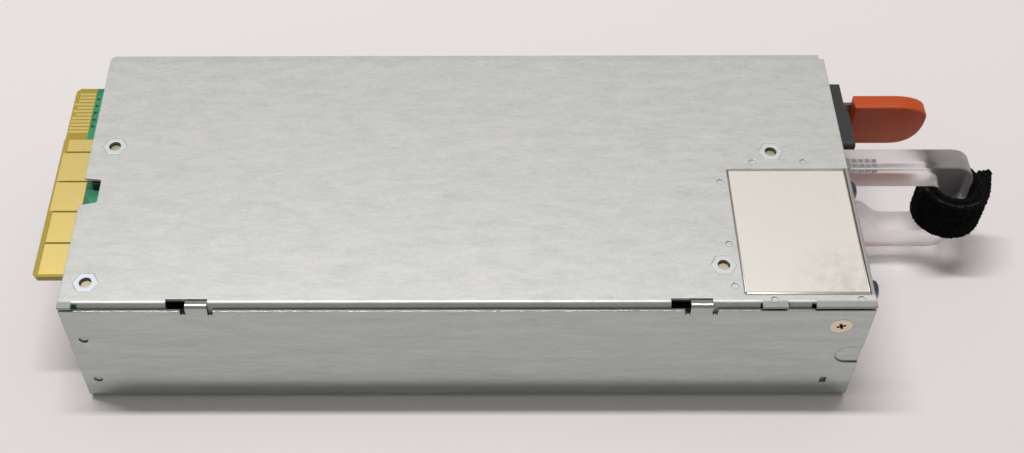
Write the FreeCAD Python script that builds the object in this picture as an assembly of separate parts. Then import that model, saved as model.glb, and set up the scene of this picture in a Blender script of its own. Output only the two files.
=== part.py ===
import FreeCAD, Part
import math
import os

# Hot swap server power supply, in millimetres.
# +X points to the handle end, Y runs across, +Z is up through the tray.
# The origin is the centre of the case's underside.

V = FreeCAD.Vector
ALONG_X = V(1, 0, 0)
ALONG_Y = V(0, 1, 0)
ALONG_Z = V(0, 0, 1)

# ---- case ----
CASE_HEIGHT = 40.0
SHEET = 0.8                 # steel of the tray, cover and end panels
SLIP = 0.1                  # gap between the cover's walls and the tray's flanges
COVER_BEND = 2.4            # outer radius along the cover's bottom edges
TRAY_BEND = 1.2             # outer radius along the tray's top edges
COVER_LAP = 1.7             # how far the cover's walls stop below the tray's face
TRAY_FLANGE = 11.5          # depth of the tray's side flanges
HOOK_REACH = 2.3            # how far a cover hook folds over the tray
HOOK_WIDTH = 5.3
HOOK_WINDOW = 10.0
HOOK_FROM_REAR = 33.3       # middle of the rear hook
HOOK_FROM_FRONT = 42.0      # middle of the front hook
RELIEF = 1.3                # width of the saw cuts beside hooks and tongue
TONGUE_WIDTH = 6.2
TONGUE_FROM_FRONT = 24.4
PIP_BORE = 1.15             # radius of the pip holes at the rear
PIP_LOW = 8.8               # height of the lower pips
PIP_DROP = 13.6             # and of the upper ones below the tray's face
PIP_SETBACK = 3.7
KEY_SCREW_SETBACK = 7.2     # the countersunk cover screws, from the front
KEY_SCREW_DROP = 8.2        # and from the tray's face
CSK_RADIUS = 2.85
HALF_SHEAR_LOW = 16.1       # the key pressed into the cover's near wall
HALF_SHEAR_WIDE = 6.8
HALF_SHEAR_REACH = 6.2
PEEP_LOW = 6.8              # small square hole below it
PEEP_HIGH = 9.3
NEAR_EAR = 14.0             # lengths of the end panels' ears
FAR_EAR = 10.0
REAR_EAR = 9.0

# ---- lengths of board that each stage takes, from the rear ----
OUTPUT_RUN = 33.1
ISOLATION_RUN = 33.1
STORAGE_RUN = 33.1
BOOST_RUN = 33.0
FILTER_RUN = 33.2

# ---- the row across the front, from the near side ----
NEAR_MARGIN = 3.6
BAY_WIDTH = 40.5            # window over the fan
HANDLE_SPACE = 3.0          # between the window and the handle
HANDLE_WIDTH = 7.0
INLET_SPACE = 1.5           # between the handle and the inlet
INLET_WIDTH = 23.2
FAR_MARGIN = 7.2            # room for the latch

# ---- fan and its bay ----
BAY_PLATE = 0.4
PLATE_LAP = 4.1             # how far the plate reaches under the tray
FAN_DEPTH = 28.0
BAY_SPACE = 2.7             # free length behind the fan
FAN_WALL = 1.0              # thinnest wall round the fan's bore
FAN_SCREW_INSET = 3.0
FAN_LIP = 4.0
SEAT_THICK = 2.0            # the disc and struts that carry the motor
STRUT_WIDTH = 1.8
HUB_RADIUS = 9.6
BLADE_ROOT = (48.0, 15.5)   # pitch angle and chord at the hub
BLADE_TIP = (30.0, 17.0)    # and at the bore
BLADE_COUNT = 7
BLADE_GAP = 0.5             # between blade tips and the fan's bore
BLADE_THICK = 0.8
CUP_LENGTH = 20.0
CUP_WALL = 1.0
MAGNET = 1.4
SHAFT_RADIUS = 1.0
SHAFT_GAP = 0.04            # running clearance in the sleeve
SLEEVE_WALL = 0.86
BEARING_TUBE_WALL = 0.7
GUARD_CELL = 4.8            # across the flats of a guard cell
GUARD_WEB = 0.8

# ---- board ----
BOARD = 1.57
STANDOFF = 3.2
STANDOFF_FLATS = 5.5
BOARD_SCREW = 1.45          # shank radius of the M3 screws
HEAD_RADIUS = 2.8
HEAD_HEIGHT = 2.2
FILM = 0.3                  # insulating sheet under the tray
CARD_REACH = 9.3            # how far the card tongue stands out of the case
CARD_WIDTH = 65.0
CARD_FAR_INSET = 8.6        # from the case's far side to the tongue
CARD_CHAMFER = 1.2
CARD_STEP = 0.3             # how much shorter the tongue is at the signal fingers
CARD_BEVEL = 0.6
PAD = 0.08                  # thickness of the gold contacts
PAD_WIDTHS = (4.2, 9.7, 9.6, 9.7, 9.6)
PAD_LEADS = (0.8, 0.0, 0.0, 0.8, 0.8)
PAD_SPACE = 0.6
PAD_LENGTH = 7.3
CONTACT_INSET = 0.75        # from the tongue's tip to the longest contacts
FINGER_COUNT = 12
LONG_FINGERS = (3, 5, 7, 8, 9, 10, 11)
FINGER_PITCH = 1.27
FINGER_WIDTH = 0.85
FINGER_LENGTH = 5.2
FINGER_INSET = 2.2          # from the tongue's far side to the middle of the first finger
PAD_INSET = 19.1            # and to the first power pad

# ---- handle ----
HANDLE_BAR = 7.0
HANDLE_HEIGHT = 33.0
HANDLE_REACH = 35.5
HANDLE_LOW = 3.5
HANDLE_CORNER = 6.0
HANDLE_ROOT = 12.7          # height of the thick root of the lower bar
ROOT_LENGTH = 9.5
ROOT_SLOPE = 6.0
LIGHT_STUB = 4.0
LIGHT_STUB_REACH = 5.7      # how far the stub goes in behind the faceplate

# ---- strap round the handle's grip ----
STRAP_WIDTH = 12.4
STRAP_THICK = 1.5
STRAP_LAP = 2.0             # how much a turn's radius grows
STRAP_SLACK = 2.0           # between the grip's flat and the first turn
STRAP_RISE = 3.7            # from the lower bar to the strap
STRAP_HALVES = 3            # half turns round the grip
STRAP_TAIL = 7.0            # straight end that stands off the roll
STRAP_TURN = -15.0          # where the tail leaves the roll

# ---- inlet ----
INLET_MARGIN = 3.5          # above and below the inlet's flange
INLET_FLANGE = 4.0
INLET_STEP = 0.8
INLET_STEP_WIDTH = 13.0
SOCKET_WIDTH = 16.3
SOCKET_MARGIN = 4.5         # from the flange's ends to the socket
SOCKET_DEPTH = 16.5
SOCKET_CHAMFER = 4.5
INLET_WALL = 1.6
BLADE_RISE = 7.0            # line and neutral blades, above and below the middle
BLADE_WIDE = 4.0
BLADE_THIN = 2.0

# ---- latch ----
LATCH_SETBACK = 62.5        # from the front to where the arm flexes
LATCH_INSET = 1.3           # from the tray's flange to the arm's middle
ARM = 1.0
ARM_HEIGHT = 10.0
FOOT_LENGTH = 14.0
RIVET_RADIUS = 1.25
TAB_START = 10.4            # from the faceplate to the tab
TAB_LENGTH = 21.0
TAB_THICK = 5.0
TAB_HEIGHT = 15.0
TAB_INSET = 3.2             # from the case's far side to the tab
TAB_SKIN = 0.5              # plastic outside the arm
LATCH_ANGLE = 2.0           # degrees that a press turns the arm
HOOK_SETBACK = 7.0
CATCH_LENGTH = 8.0
CATCH_PROUD = 1.5           # how far the latch hook stands out of the far wall

PIN_SIDES = 8               # facets round screws and pins
HEAD_SIDES = 12
CAN_SIDES = 16
DRUM_SIDES = 24             # round the fan's hub, and round coils
BORE_SIDES = 36             # round the fan's bore

FIT = 0.02                  # gap between a screw and its tapped hole
CLEAR = 0.3

# ---- places that follow from the sizes ----
BAY_LENGTH = FAN_DEPTH + BAY_SPACE
BOARD_RUN = OUTPUT_RUN + ISOLATION_RUN + STORAGE_RUN + BOOST_RUN + FILTER_RUN
CASE_LENGTH = BOARD_RUN + BAY_LENGTH + SHEET
CASE_WIDTH = (NEAR_MARGIN + BAY_WIDTH + HANDLE_SPACE + HANDLE_WIDTH + INLET_SPACE
              + INLET_WIDTH + FAR_MARGIN)
FRONT = CASE_LENGTH / 2
REAR = -FRONT
SIDE = CASE_WIDTH / 2
TOP = CASE_HEIGHT
UNDER_TRAY = TOP - SHEET
FLANGE_OUT = SIDE - SHEET - SLIP
FLANGE_IN = FLANGE_OUT - SHEET
BOARD_TOP = UNDER_TRAY - STANDOFF
BOARD_UNDER = BOARD_TOP - BOARD
BOARD_EDGE = FLANGE_IN - 0.7
ROOM = BOARD_UNDER - SHEET        # height under the board
PANEL_IN = FRONT - SHEET
BAY_REAR = PANEL_IN - BAY_LENGTH
BAY_NEAR = -SIDE + NEAR_MARGIN
BAY_FAR = BAY_NEAR + BAY_WIDTH
FAN_SIZE = UNDER_TRAY - BAY_PLATE - SHEET
FAN_BORE = FAN_SIZE / 2 - FAN_WALL
FAN_Y = (BAY_NEAR + BAY_FAR) / 2
FAN_Z = SHEET + FAN_SIZE / 2
FAN_BACK = PANEL_IN - FAN_DEPTH
SEAT_X = PANEL_IN - SEAT_THICK
ROTOR_BACK = SEAT_X - CUP_LENGTH - 1.0
SLEEVE_RADIUS = SHAFT_RADIUS + SHAFT_GAP + SLEEVE_WALL
BEARING_TUBE = SLEEVE_RADIUS + BEARING_TUBE_WALL
HANDLE_NEAR = BAY_FAR + HANDLE_SPACE
HANDLE_Y = HANDLE_NEAR + HANDLE_WIDTH / 2
INLET_NEAR = HANDLE_NEAR + HANDLE_WIDTH + INLET_SPACE
INLET_Y = INLET_NEAR + INLET_WIDTH / 2
INLET_Z = TOP / 2
INLET_HEIGHT = TOP - 2 * INLET_MARGIN
SOCKET_HEIGHT = INLET_HEIGHT - 2 * SOCKET_MARGIN
INLET_FACE = FRONT + INLET_FLANGE
INLET_BACK = INLET_FACE - SOCKET_DEPTH - 1.8
LATCH_X = FRONT - LATCH_SETBACK
LATCH_Y = FLANGE_IN - LATCH_INSET
LATCH_Z = TOP / 2
LATCH_LOW = LATCH_Z - ARM_HEIGHT / 2
LATCH_HIGH = LATCH_Z + ARM_HEIGHT / 2
TAB_FAR = SIDE - TAB_INSET
ARM_OUTSIDE = TAB_FAR - TAB_SKIN - ARM    # low Y of the arm where it leaves the case
CARD_TIP = REAR - CARD_REACH
CARD_HIGH = SIDE - CARD_FAR_INSET
CARD_LOW = CARD_HIGH - CARD_WIDTH
STRAP_BORE = HANDLE_BAR / 2 + STRAP_SLACK
STRAP_X = FRONT + HANDLE_REACH - HANDLE_BAR / 2
STRAP_LOW = HANDLE_LOW + HANDLE_BAR + STRAP_RISE
HOOK_STATIONS = (REAR + HOOK_FROM_REAR, FRONT - HOOK_FROM_FRONT)
TONGUE_STATION = FRONT - TONGUE_FROM_FRONT
PIP_HEIGHTS = (PIP_LOW, TOP - PIP_DROP)
KEY_SCREW = (FRONT - KEY_SCREW_SETBACK, TOP - KEY_SCREW_DROP)
# the board's four standoffs: two by the card edge, one beside the fan's window, one behind it
STANDOFF_SPOTS = ((REAR + 6.1, CARD_HIGH - 25.0), (REAR + 5.7, -SIDE + 7.7),
                  (BAY_REAR + 12.35, BAY_FAR + 6.0), (BAY_REAR - 4.0, BAY_NEAR + 9.2))
RIVET_STATIONS = (LATCH_X - 11.0, LATCH_X - 5.0)
ISOLATION_START = REAR + OUTPUT_RUN
STORAGE_START = ISOLATION_START + ISOLATION_RUN
BOOST_START = STORAGE_START + STORAGE_RUN
FILTER_START = BOOST_START + BOOST_RUN
BOARD_WIDTH = 2 * BOARD_EDGE


def save(name, *shapes):
    """Write one node: a solid, or a group of like solids."""
    shape = shapes[0] if len(shapes) == 1 else Part.makeCompound(list(shapes))
    shape.exportStep("parts/" + name + ".step")


def block(x0, x1, y0, y1, z0, z1):
    return Part.makeBox(x1 - x0, y1 - y0, z1 - z0, V(x0, y0, z0))


def rod(radius, start, axis, length):
    return Part.makeCylinder(radius, length, start, axis)


def tube(outer, inner, start, axis, length):
    return rod(outer, start, axis, length).cut(rod(inner, start, axis, length))


def outline(corners, plane, at):
    """A flat face whose corners (u, v, radius) are rounded by tangent arcs."""
    spot = {"XY": lambda u, v: V(u, v, at), "XZ": lambda u, v: V(u, at, v),
            "YZ": lambda u, v: V(at, u, v)}[plane]
    ends, arcs = [], []
    for i, (u, v, radius) in enumerate(corners):
        before, after = corners[i - 1], corners[(i + 1) % len(corners)]
        here = V(u, v, 0)
        back = (V(before[0], before[1], 0) - here).normalize()
        on = (V(after[0], after[1], 0) - here).normalize()
        if radius == 0:
            ends.append((here, here))
            arcs.append(None)
            continue
        half = back.getAngle(on) / 2
        reach = radius / math.tan(half)
        middle = (back + on).normalize()
        bulge = here + middle * (radius / math.sin(half) - radius)
        ends.append((here + back * reach, here + on * reach))
        arcs.append(bulge)
    edges = []
    for i, (start, stop) in enumerate(ends):
        if arcs[i] is not None:
            points = [spot(p.x, p.y) for p in (start, arcs[i], stop)]
            edges.append(Part.Arc(*points).toShape())
        follow = ends[(i + 1) % len(ends)][0]
        if stop.distanceToPoint(follow) > 1e-6:
            line = Part.LineSegment(spot(stop.x, stop.y), spot(follow.x, follow.y))
            edges.append(line.toShape())
    return Part.Face(Part.Wire(Part.__sortEdges__(edges)))


def rounded(u0, u1, v0, v1, radius):
    return [(u0, v0, radius), (u1, v0, radius), (u1, v1, radius), (u0, v1, radius)]


def around(u, width, v, height, radius):
    """A rounded rectangle's corners, from its middle and its sizes."""
    return rounded(u - width / 2, u + width / 2, v - height / 2, v + height / 2, radius)


def slab(corners, plane, start, stop):
    """A rounded outline given thickness across its plane."""
    axis = {"XY": ALONG_Z, "XZ": ALONG_Y, "YZ": ALONG_X}[plane]
    return outline(corners, plane, start).extrude(axis * (stop - start))


def drum(radius, base, axis, length, sides, turn=0.0):
    """A many-sided drum that stands on base, its corners on a circle."""
    side = ALONG_Y if axis.x else ALONG_X
    other = axis.cross(side)
    points = []
    for i in range(sides + 1):
        angle = math.radians(turn + 360.0 * (i % sides) / sides)
        points.append(base + side * (radius * math.cos(angle)) + other * (radius * math.sin(angle)))
    return Part.Face(Part.makePolygon(points)).extrude(axis * length)


def taper(radius, end_radius, base, axis, length, sides):
    """A many-sided drum that narrows to end_radius."""
    side = ALONG_Y if axis.x else ALONG_X
    other = axis.cross(side)
    rings = []
    for size, centre in ((radius, base), (end_radius, base + axis * length)):
        angles = [math.radians(360.0 * i / sides) for i in range(sides)]
        rings.append([centre + side * (size * math.cos(a)) + other * (size * math.sin(a)) for a in angles])
    return solid_between(rings[0], rings[1])


def solid_between(first, last):
    """The solid between two rings of points, sided with flat triangles."""
    count = len(first)
    faces = [Part.Face(Part.makePolygon(ring + ring[:1])) for ring in (first, last)]
    for i in range(count):
        j = (i + 1) % count
        for corners in ((first[i], first[j], last[i]), (first[j], last[j], last[i])):
            faces.append(Part.Face(Part.makePolygon([*corners, corners[0]])))
    solid = Part.makeSolid(Part.makeShell(faces))
    return solid if solid.Volume > 0 else solid.reversed()


def hexagon(flats, centre, axis, length, turn=0.0):
    """A hexagonal prism that stands on centre."""
    return drum(flats / math.sqrt(3), centre, axis, length, 6, turn)


def join(first, *others):
    return first.fuse(list(others)).removeSplitter()


def carve(shape, *tools):
    return shape.cut(Part.makeCompound(list(tools)))


def pan_screw(seat, axis, length):
    """A pan head screw: its head stands on the seat, its shank goes the other way."""
    rim = HEAD_HEIGHT * 0.6
    head = drum(HEAD_RADIUS, seat, axis, rim, HEAD_SIDES)
    crown = taper(HEAD_RADIUS, HEAD_RADIUS * 0.7, seat + axis * rim, axis, HEAD_HEIGHT - rim, HEAD_SIDES)
    shank = drum(BOARD_SCREW, seat - axis * length, axis, length, PIN_SIDES)
    return join(head, crown, shank)


# ---------------------------------------------------------------- case

def channel(half, low, top, radius, x0, x1):
    """A bent sheet: a web at the top with a leg down each side."""
    inner = max(radius - SHEET, 0.05)
    return slab([(-half, low, 0), (-half, top, radius), (half, top, radius), (half, low, 0),
                 (half - SHEET, low, 0), (half - SHEET, top - SHEET, inner),
                 (-half + SHEET, top - SHEET, inner), (-half + SHEET, low, 0)], "YZ", x0, x1)


def clinch_spots():
    """Where the bay plate is toggle-locked to the tray, round the fan's cut-out."""
    beyond = BAY_FAR + 2.3
    behind = BAY_REAR - 2.0
    return [(BAY_REAR + 7.1, beyond), (BAY_REAR + 20.3, beyond), (behind, FAN_Y + 15.8),
            (behind, FAN_Y - 4.5), (behind, FAN_Y - 17.5), (TONGUE_STATION, BAY_NEAR - 1.4),
            (FRONT - 3.5, BAY_NEAR - 1.3)]


def csk_cone(y_sign, x, z, shank):
    """The cutter for a countersunk hole through a side wall, from outside in."""
    outer = V(x, y_sign * SIDE, z)
    inward = ALONG_Y * -y_sign
    cone = Part.makeCone(CSK_RADIUS, shank, CSK_RADIUS - shank, outer, inward)
    return join(cone, rod(shank, outer, inward, 6.0))


def tray():
    flange_low = TOP - TRAY_FLANGE
    rear_relief = REAR + 3.3
    front_relief = FRONT - 14.6
    shape = channel(FLANGE_OUT, flange_low, TOP, TRAY_BEND, REAR, FRONT)
    cuts = []
    # the flanges stop short of both ends, where the web runs flat to the case's side
    near = -SIDE - 1
    cuts.append(block(REAR - 1, rear_relief + RELIEF, near, -FLANGE_OUT + 0.5, 0, TOP + 1))
    cuts.append(block(REAR - 1, rear_relief + RELIEF, near, -FLANGE_IN + 0.6, 0, UNDER_TRAY))
    cuts.append(block(front_relief - 1.0, FRONT + 1, near, -FLANGE_OUT + 0.5, 0, TOP + 1))
    cuts.append(block(front_relief - 1.0, FRONT + 1, near, -FLANGE_IN + 0.6, 0, UNDER_TRAY))
    cuts.append(block(FRONT - 1.6, FRONT + 1, FLANGE_IN - 0.6, SIDE + 1, 0, UNDER_TRAY))
    cuts.append(block(REAR - 1, rear_relief + RELIEF, FLANGE_IN - 0.6, SIDE + 1, 0, UNDER_TRAY))
    half = TONGUE_WIDTH / 2 + 0.4
    cuts.append(block(TONGUE_STATION - half, TONGUE_STATION + half, near, -FLANGE_OUT + 0.5, 0, TOP + 1))
    cuts.append(block(TONGUE_STATION - half, TONGUE_STATION + half, near, -FLANGE_IN + 0.6, 0, UNDER_TRAY))
    for station in HOOK_STATIONS:
        middle = station - HOOK_WINDOW / 2 + HOOK_WIDTH / 2
        cuts.append(block(middle - HOOK_WINDOW / 2, middle + HOOK_WINDOW / 2,
                          near, -SIDE + HOOK_REACH + CLEAR, flange_low - 1, TOP + 1))
    shape = carve(shape, *cuts)
    edge = -FLANGE_OUT - 0.5
    flats = [block(REAR, rear_relief, -SIDE, edge + 1.5, UNDER_TRAY, TOP),
             block(front_relief, FRONT, -SIDE, edge + 1.5, UNDER_TRAY, TOP),
             block(TONGUE_STATION - TONGUE_WIDTH / 2, TONGUE_STATION + TONGUE_WIDTH / 2,
                   -SIDE, edge + 1.5, UNDER_TRAY, TOP)]
    # a lug below the far flange carries the latch's foot
    lug = block(LATCH_X - FOOT_LENGTH, LATCH_X + 1, FLANGE_IN, FLANGE_OUT, LATCH_LOW - 1, flange_low + 1)
    shape = join(shape, lug, *flats)
    holes = [slab(rounded(BAY_REAR, PANEL_IN, BAY_NEAR, BAY_FAR, 0.6), "XY", UNDER_TRAY - 1, TOP + 1),
             block(PANEL_IN - 1, FRONT + 1, BAY_NEAR, BAY_FAR, UNDER_TRAY - 1, TOP + 1)]
    high = STANDOFF_SPOTS[0][1] - 11.0
    notch = [(REAR - 1, high, 0), (REAR + 4.4, high - 0.7, 0.6), (REAR + 4.4, high - 8.3, 0.6),
             (REAR - 1, high - 9.4, 0)]
    holes.append(slab(notch, "XY", UNDER_TRAY - 1, TOP + 1))
    for x, y in STANDOFF_SPOTS:
        holes.append(hexagon(STANDOFF_FLATS, V(x, y, UNDER_TRAY - 1), ALONG_Z, SHEET + 2))
    for x, y in clinch_spots():
        holes.append(drum(0.9, V(x, y, TOP - 0.35), ALONG_Z, 1, HEAD_SIDES))
    holes.append(csk_cone(1, KEY_SCREW[0], KEY_SCREW[1], BOARD_SCREW + FIT))
    for x in RIVET_STATIONS:
        holes.append(rod(RIVET_RADIUS, V(x, FLANGE_IN - 1, LATCH_Z), ALONG_Y, 3))
    return carve(shape, *holes)


def cover():
    top = TOP - COVER_LAP
    shape = slab([(-SIDE, top, 0), (-SIDE, 0, COVER_BEND), (SIDE, 0, COVER_BEND), (SIDE, top, 0),
                  (SIDE - SHEET, top, 0), (SIDE - SHEET, SHEET, COVER_BEND - SHEET),
                  (-SIDE + SHEET, SHEET, COVER_BEND - SHEET), (-SIDE + SHEET, top, 0)],
                 "YZ", REAR, FRONT)
    cuts = []
    hooks = []
    for station in HOOK_STATIONS:
        left, right = station - HOOK_WIDTH / 2, station + HOOK_WIDTH / 2
        for side in (left - RELIEF, right):
            cuts.append(block(side, side + RELIEF, -SIDE - 1, -SIDE + SHEET + 0.05, top - COVER_LAP, TOP))
        hook = slab([(-SIDE, top - 1, 0), (-SIDE + SHEET, top - 1, 0),
                     (-SIDE + SHEET, UNDER_TRAY, 0.3), (-SIDE + HOOK_REACH, UNDER_TRAY, 0),
                     (-SIDE + HOOK_REACH, TOP, 0.3), (-SIDE, TOP, 1.1)], "YZ", left, right)
        hooks.append(hook)
    shape = join(carve(shape, *cuts), *hooks)
    holes = []
    for z in PIP_HEIGHTS:
        holes.append(rod(PIP_BORE, V(REAR + PIP_SETBACK, -SIDE - 1, z), ALONG_Y, CASE_WIDTH + 2))
    for sign in (-1, 1):
        holes.append(csk_cone(sign, KEY_SCREW[0], KEY_SCREW[1], BOARD_SCREW + FIT))
    holes.append(block(FRONT - 7.9, FRONT - 6.3, -SIDE - 1, -SIDE + 1, PEEP_LOW, PEEP_HIGH))
    # the half-shear that keys the cover on the faceplate's ear
    low, high, back = HALF_SHEAR_LOW, HALF_SHEAR_LOW + HALF_SHEAR_WIDE, FRONT - HALF_SHEAR_REACH
    bend = HALF_SHEAR_WIDE / 2 - 0.1
    holes.append(slab([(back, low, bend), (FRONT + 1, low, 0), (FRONT + 1, high, 0), (back, high, bend)],
                      "XZ", -SIDE - 1, -SIDE + 0.3))
    catch_front = FRONT - HOOK_SETBACK
    holes.append(slab(rounded(catch_front - CATCH_LENGTH - 0.8, catch_front + 0.8, LATCH_LOW - 0.6,
                              LATCH_HIGH + 0.6, 0.8), "XZ", SIDE - SHEET - 1, SIDE + 1))
    return carve(shape, *holes)


def bay_plate():
    shape = block(BAY_REAR - PLATE_LAP, PANEL_IN - 0.1, -FLANGE_IN + CLEAR, BAY_FAR + PLATE_LAP,
                  UNDER_TRAY - BAY_PLATE, UNDER_TRAY)
    gap = STANDOFF_FLATS / 2 + 0.75
    gaps = [drum(gap, V(x, y, UNDER_TRAY - 1), ALONG_Z, 2, HEAD_SIDES) for x, y in STANDOFF_SPOTS[2:]]
    return carve(shape, *gaps)


def insulator():
    return slab(rounded(REAR + 10, BAY_REAR - 8, -BOARD_EDGE, BOARD_EDGE, 2.0), "XY",
                UNDER_TRAY - FILM, UNDER_TRAY)


def end_panel(x0, x1, top):
    """A flat panel that fits inside the cover's two bends."""
    low, bend = SHEET + SLIP, COVER_BEND - SHEET
    return slab([(-FLANGE_OUT, low, bend), (FLANGE_OUT, low, bend), (FLANGE_OUT, top, 1.0),
                 (-FLANGE_OUT, top, 1.0)], "YZ", x0, x1)


def slot_prism(y, width, low, high, x0, x1):
    """An upright slot with bevelled ends, as a cutter."""
    half, cut = width / 2, width / 4
    ends = [(-half, low + cut), (-cut, low), (cut, low), (half, low + cut),
            (half, high - cut), (cut, high), (-cut, high), (-half, high - cut)]
    return slab([(y + side, z, 0) for side, z in ends], "YZ", x0, x1)


def rear_panel():
    top = BOARD_UNDER - CLEAR
    shape = end_panel(REAR, REAR + SHEET, top)
    ears = [block(REAR + SHEET / 2, REAR + REAR_EAR, y, y + SHEET, 2.5, TOP - TRAY_FLANGE - CLEAR)
            for y in (-FLANGE_OUT, FLANGE_IN)]
    shape = join(shape, *ears)
    slots = []
    pitch, width = 5.6, 4.2
    count = int((2 * FLANGE_IN - 4) // pitch)
    for i in range(count):
        y = (i - (count - 1) / 2) * pitch
        slots.append(slot_prism(y, width, 5.0, top - 4.0, REAR - 1, REAR + SHEET + 1))
    pips = [rod(PIP_BORE - CLEAR / 2, V(REAR + PIP_SETBACK, y, z), ALONG_Y, SHEET * 0.5 + SLIP)
            for y in (-FLANGE_OUT - SLIP - SHEET * 0.5, FLANGE_OUT) for z in PIP_HEIGHTS]
    return join(carve(shape, *slots), *pips)


def guard_cells(centre, x0, x1):
    """The honeycomb of cells stamped in front of the fan."""
    pitch = GUARD_CELL + GUARD_WEB
    row_pitch = pitch * math.sqrt(3) / 2
    cells = []
    rows = int(FAN_BORE // row_pitch)
    for row in range(-rows, rows + 1):
        shift = pitch / 2 if row % 2 else 0.0
        for column in range(-8, 9):
            y, z = column * pitch + shift, row * row_pitch
            if math.hypot(y, z) + GUARD_CELL / 2 <= FAN_BORE + 0.3:
                cells.append(hexagon(GUARD_CELL, V(x0, centre.y + y, centre.z + z), ALONG_X, x1 - x0, 30))
    return cells


def fan_corners():
    half = FAN_SIZE / 2 - FAN_SCREW_INSET
    return [(FAN_Y + a * half, FAN_Z + b * half) for a in (-1, 1) for b in (-1, 1)]


def latch_slot():
    """Low and high Y of the faceplate's slot: the arm's width plus its travel."""
    travel = LATCH_SETBACK * math.sin(math.radians(LATCH_ANGLE))
    return ARM_OUTSIDE - travel - CLEAR, ARM_OUTSIDE + ARM + CLEAR


def faceplate():
    shape = end_panel(PANEL_IN, FRONT, UNDER_TRAY)
    strip = block(PANEL_IN, FRONT, BAY_NEAR, BAY_FAR, UNDER_TRAY - 1, TOP)
    near_ear = block(FRONT - NEAR_EAR, FRONT - SHEET / 2, -FLANGE_OUT, -FLANGE_IN, 2.0, UNDER_TRAY - 1.2)
    far_ear = block(FRONT - FAR_EAR, FRONT - SHEET / 2, FLANGE_IN, FLANGE_OUT, 2.0, LATCH_LOW - 1.5)
    shape = join(shape, strip, near_ear, far_ear)
    x0, x1 = PANEL_IN - 1, FRONT + 1
    holes = guard_cells(V(0, FAN_Y, FAN_Z), x0, x1)
    for y, z in fan_corners():
        holes.append(drum(BOARD_SCREW + 0.2, V(x0, y, z), ALONG_X, 3, HEAD_SIDES))
    width, height = socket_body()
    holes.append(slab(around(INLET_Y, width + 0.2, INLET_Z, height + 0.2, 1.0), "YZ", x0, x1))
    stub_middle = stub_low() + LIGHT_STUB / 2
    holes.append(slab(around(HANDLE_Y, LIGHT_STUB + 1.2, stub_middle, LIGHT_STUB + 0.2, 0), "YZ", x0, x1))
    for z in handle_screw_heights():
        holes.append(drum(BOARD_SCREW + 0.2, V(x0, HANDLE_Y, z), ALONG_X, 3, HEAD_SIDES))
    low, high = latch_slot()
    holes.append(slab(rounded(low, high, LATCH_LOW - 0.5, LATCH_HIGH + 0.5, 0.5), "YZ", x0, x1))
    holes.append(csk_cone(-1, KEY_SCREW[0], KEY_SCREW[1], BOARD_SCREW + FIT))
    return carve(shape, *holes)


def standoffs():
    made = []
    for x, y in STANDOFF_SPOTS:
        collar = hexagon(STANDOFF_FLATS, V(x, y, UNDER_TRAY), ALONG_Z, SHEET)
        barrel = drum(STANDOFF_FLATS / 2 - 0.15, V(x, y, BOARD_TOP), ALONG_Z, STANDOFF, HEAD_SIDES)
        bore = drum(BOARD_SCREW + FIT, V(x, y, BOARD_TOP - 1), ALONG_Z, 10, PIN_SIDES)
        made.append(carve(join(collar, barrel), bore))
    return made


def board_screws():
    length = BOARD + STANDOFF - 0.4
    return [pan_screw(V(x, y, BOARD_UNDER), ALONG_Z * -1, length) for x, y in STANDOFF_SPOTS]


def cover_screws():
    made = []
    for sign in (-1, 1):
        x, z = KEY_SCREW
        outer = V(x, sign * SIDE, z)
        inward = ALONG_Y * -sign
        rim = CSK_RADIUS - FIT
        head = Part.makeCone(rim, BOARD_SCREW, rim - BOARD_SCREW, outer, inward)
        made.append(join(head, drum(BOARD_SCREW, outer, inward, 4.5, PIN_SIDES)))
    return made


def fan_screws():
    return [pan_screw(V(FRONT, y, z), ALONG_X, 8.0) for y, z in fan_corners()]


# ---------------------------------------------------------------- fan

def fan_frame():
    half = FAN_SIZE / 2
    square = rounded(FAN_Y - half, FAN_Y + half, FAN_Z - half, FAN_Z + half, 2.5)
    centre = V(FAN_BACK, FAN_Y, FAN_Z)
    back = slab(square, "YZ", FAN_BACK, FAN_BACK + FAN_LIP)
    front = slab(square, "YZ", PANEL_IN - FAN_LIP, PANEL_IN)
    shape = join(back, front, drum(half - 0.05, centre, ALONG_X, FAN_DEPTH, BORE_SIDES))
    flare = taper(FAN_BORE + 0.7, FAN_BORE, centre, ALONG_X, 2.0, BORE_SIDES)
    shape = carve(shape, drum(FAN_BORE, centre, ALONG_X, FAN_DEPTH, BORE_SIDES), flare)
    seat = drum(HUB_RADIUS, V(SEAT_X, FAN_Y, FAN_Z), ALONG_X, SEAT_THICK, DRUM_SIDES)
    struts = []
    for i in range(4):
        strut = block(SEAT_X, PANEL_IN, HUB_RADIUS - 1, FAN_BORE + 0.5, -STRUT_WIDTH / 2, STRUT_WIDTH / 2)
        strut.rotate(V(0, 0, 0), ALONG_X, 57 + 90 * i)
        strut.translate(V(0, FAN_Y, FAN_Z))
        struts.append(strut)
    shape = join(shape, seat, *struts)
    holes = [drum(BOARD_SCREW + FIT, V(FAN_BACK - 1, y, z), ALONG_X, FAN_DEPTH + 2, PIN_SIDES)
             for y, z in fan_corners()]
    holes.append(rod(BEARING_TUBE, V(SEAT_X - 1, FAN_Y, FAN_Z), ALONG_X, SEAT_THICK + 0.4))
    return carve(shape, *holes)


def blade_ring(radius, pitch_angle, chord):
    """A cambered blade section in the plane at a radius."""
    rise, half = chord * 0.09, BLADE_THICK / 2
    points = [(-chord / 2, 0), (-chord / 6, rise + half), (chord / 6, rise + half), (chord / 2, 0),
              (chord / 6, rise - half), (-chord / 6, rise - half)]
    turn = math.radians(pitch_angle)
    return [V(a * math.sin(turn) + b * math.cos(turn), a * math.cos(turn) - b * math.sin(turn), radius)
            for a, b in points]


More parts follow.
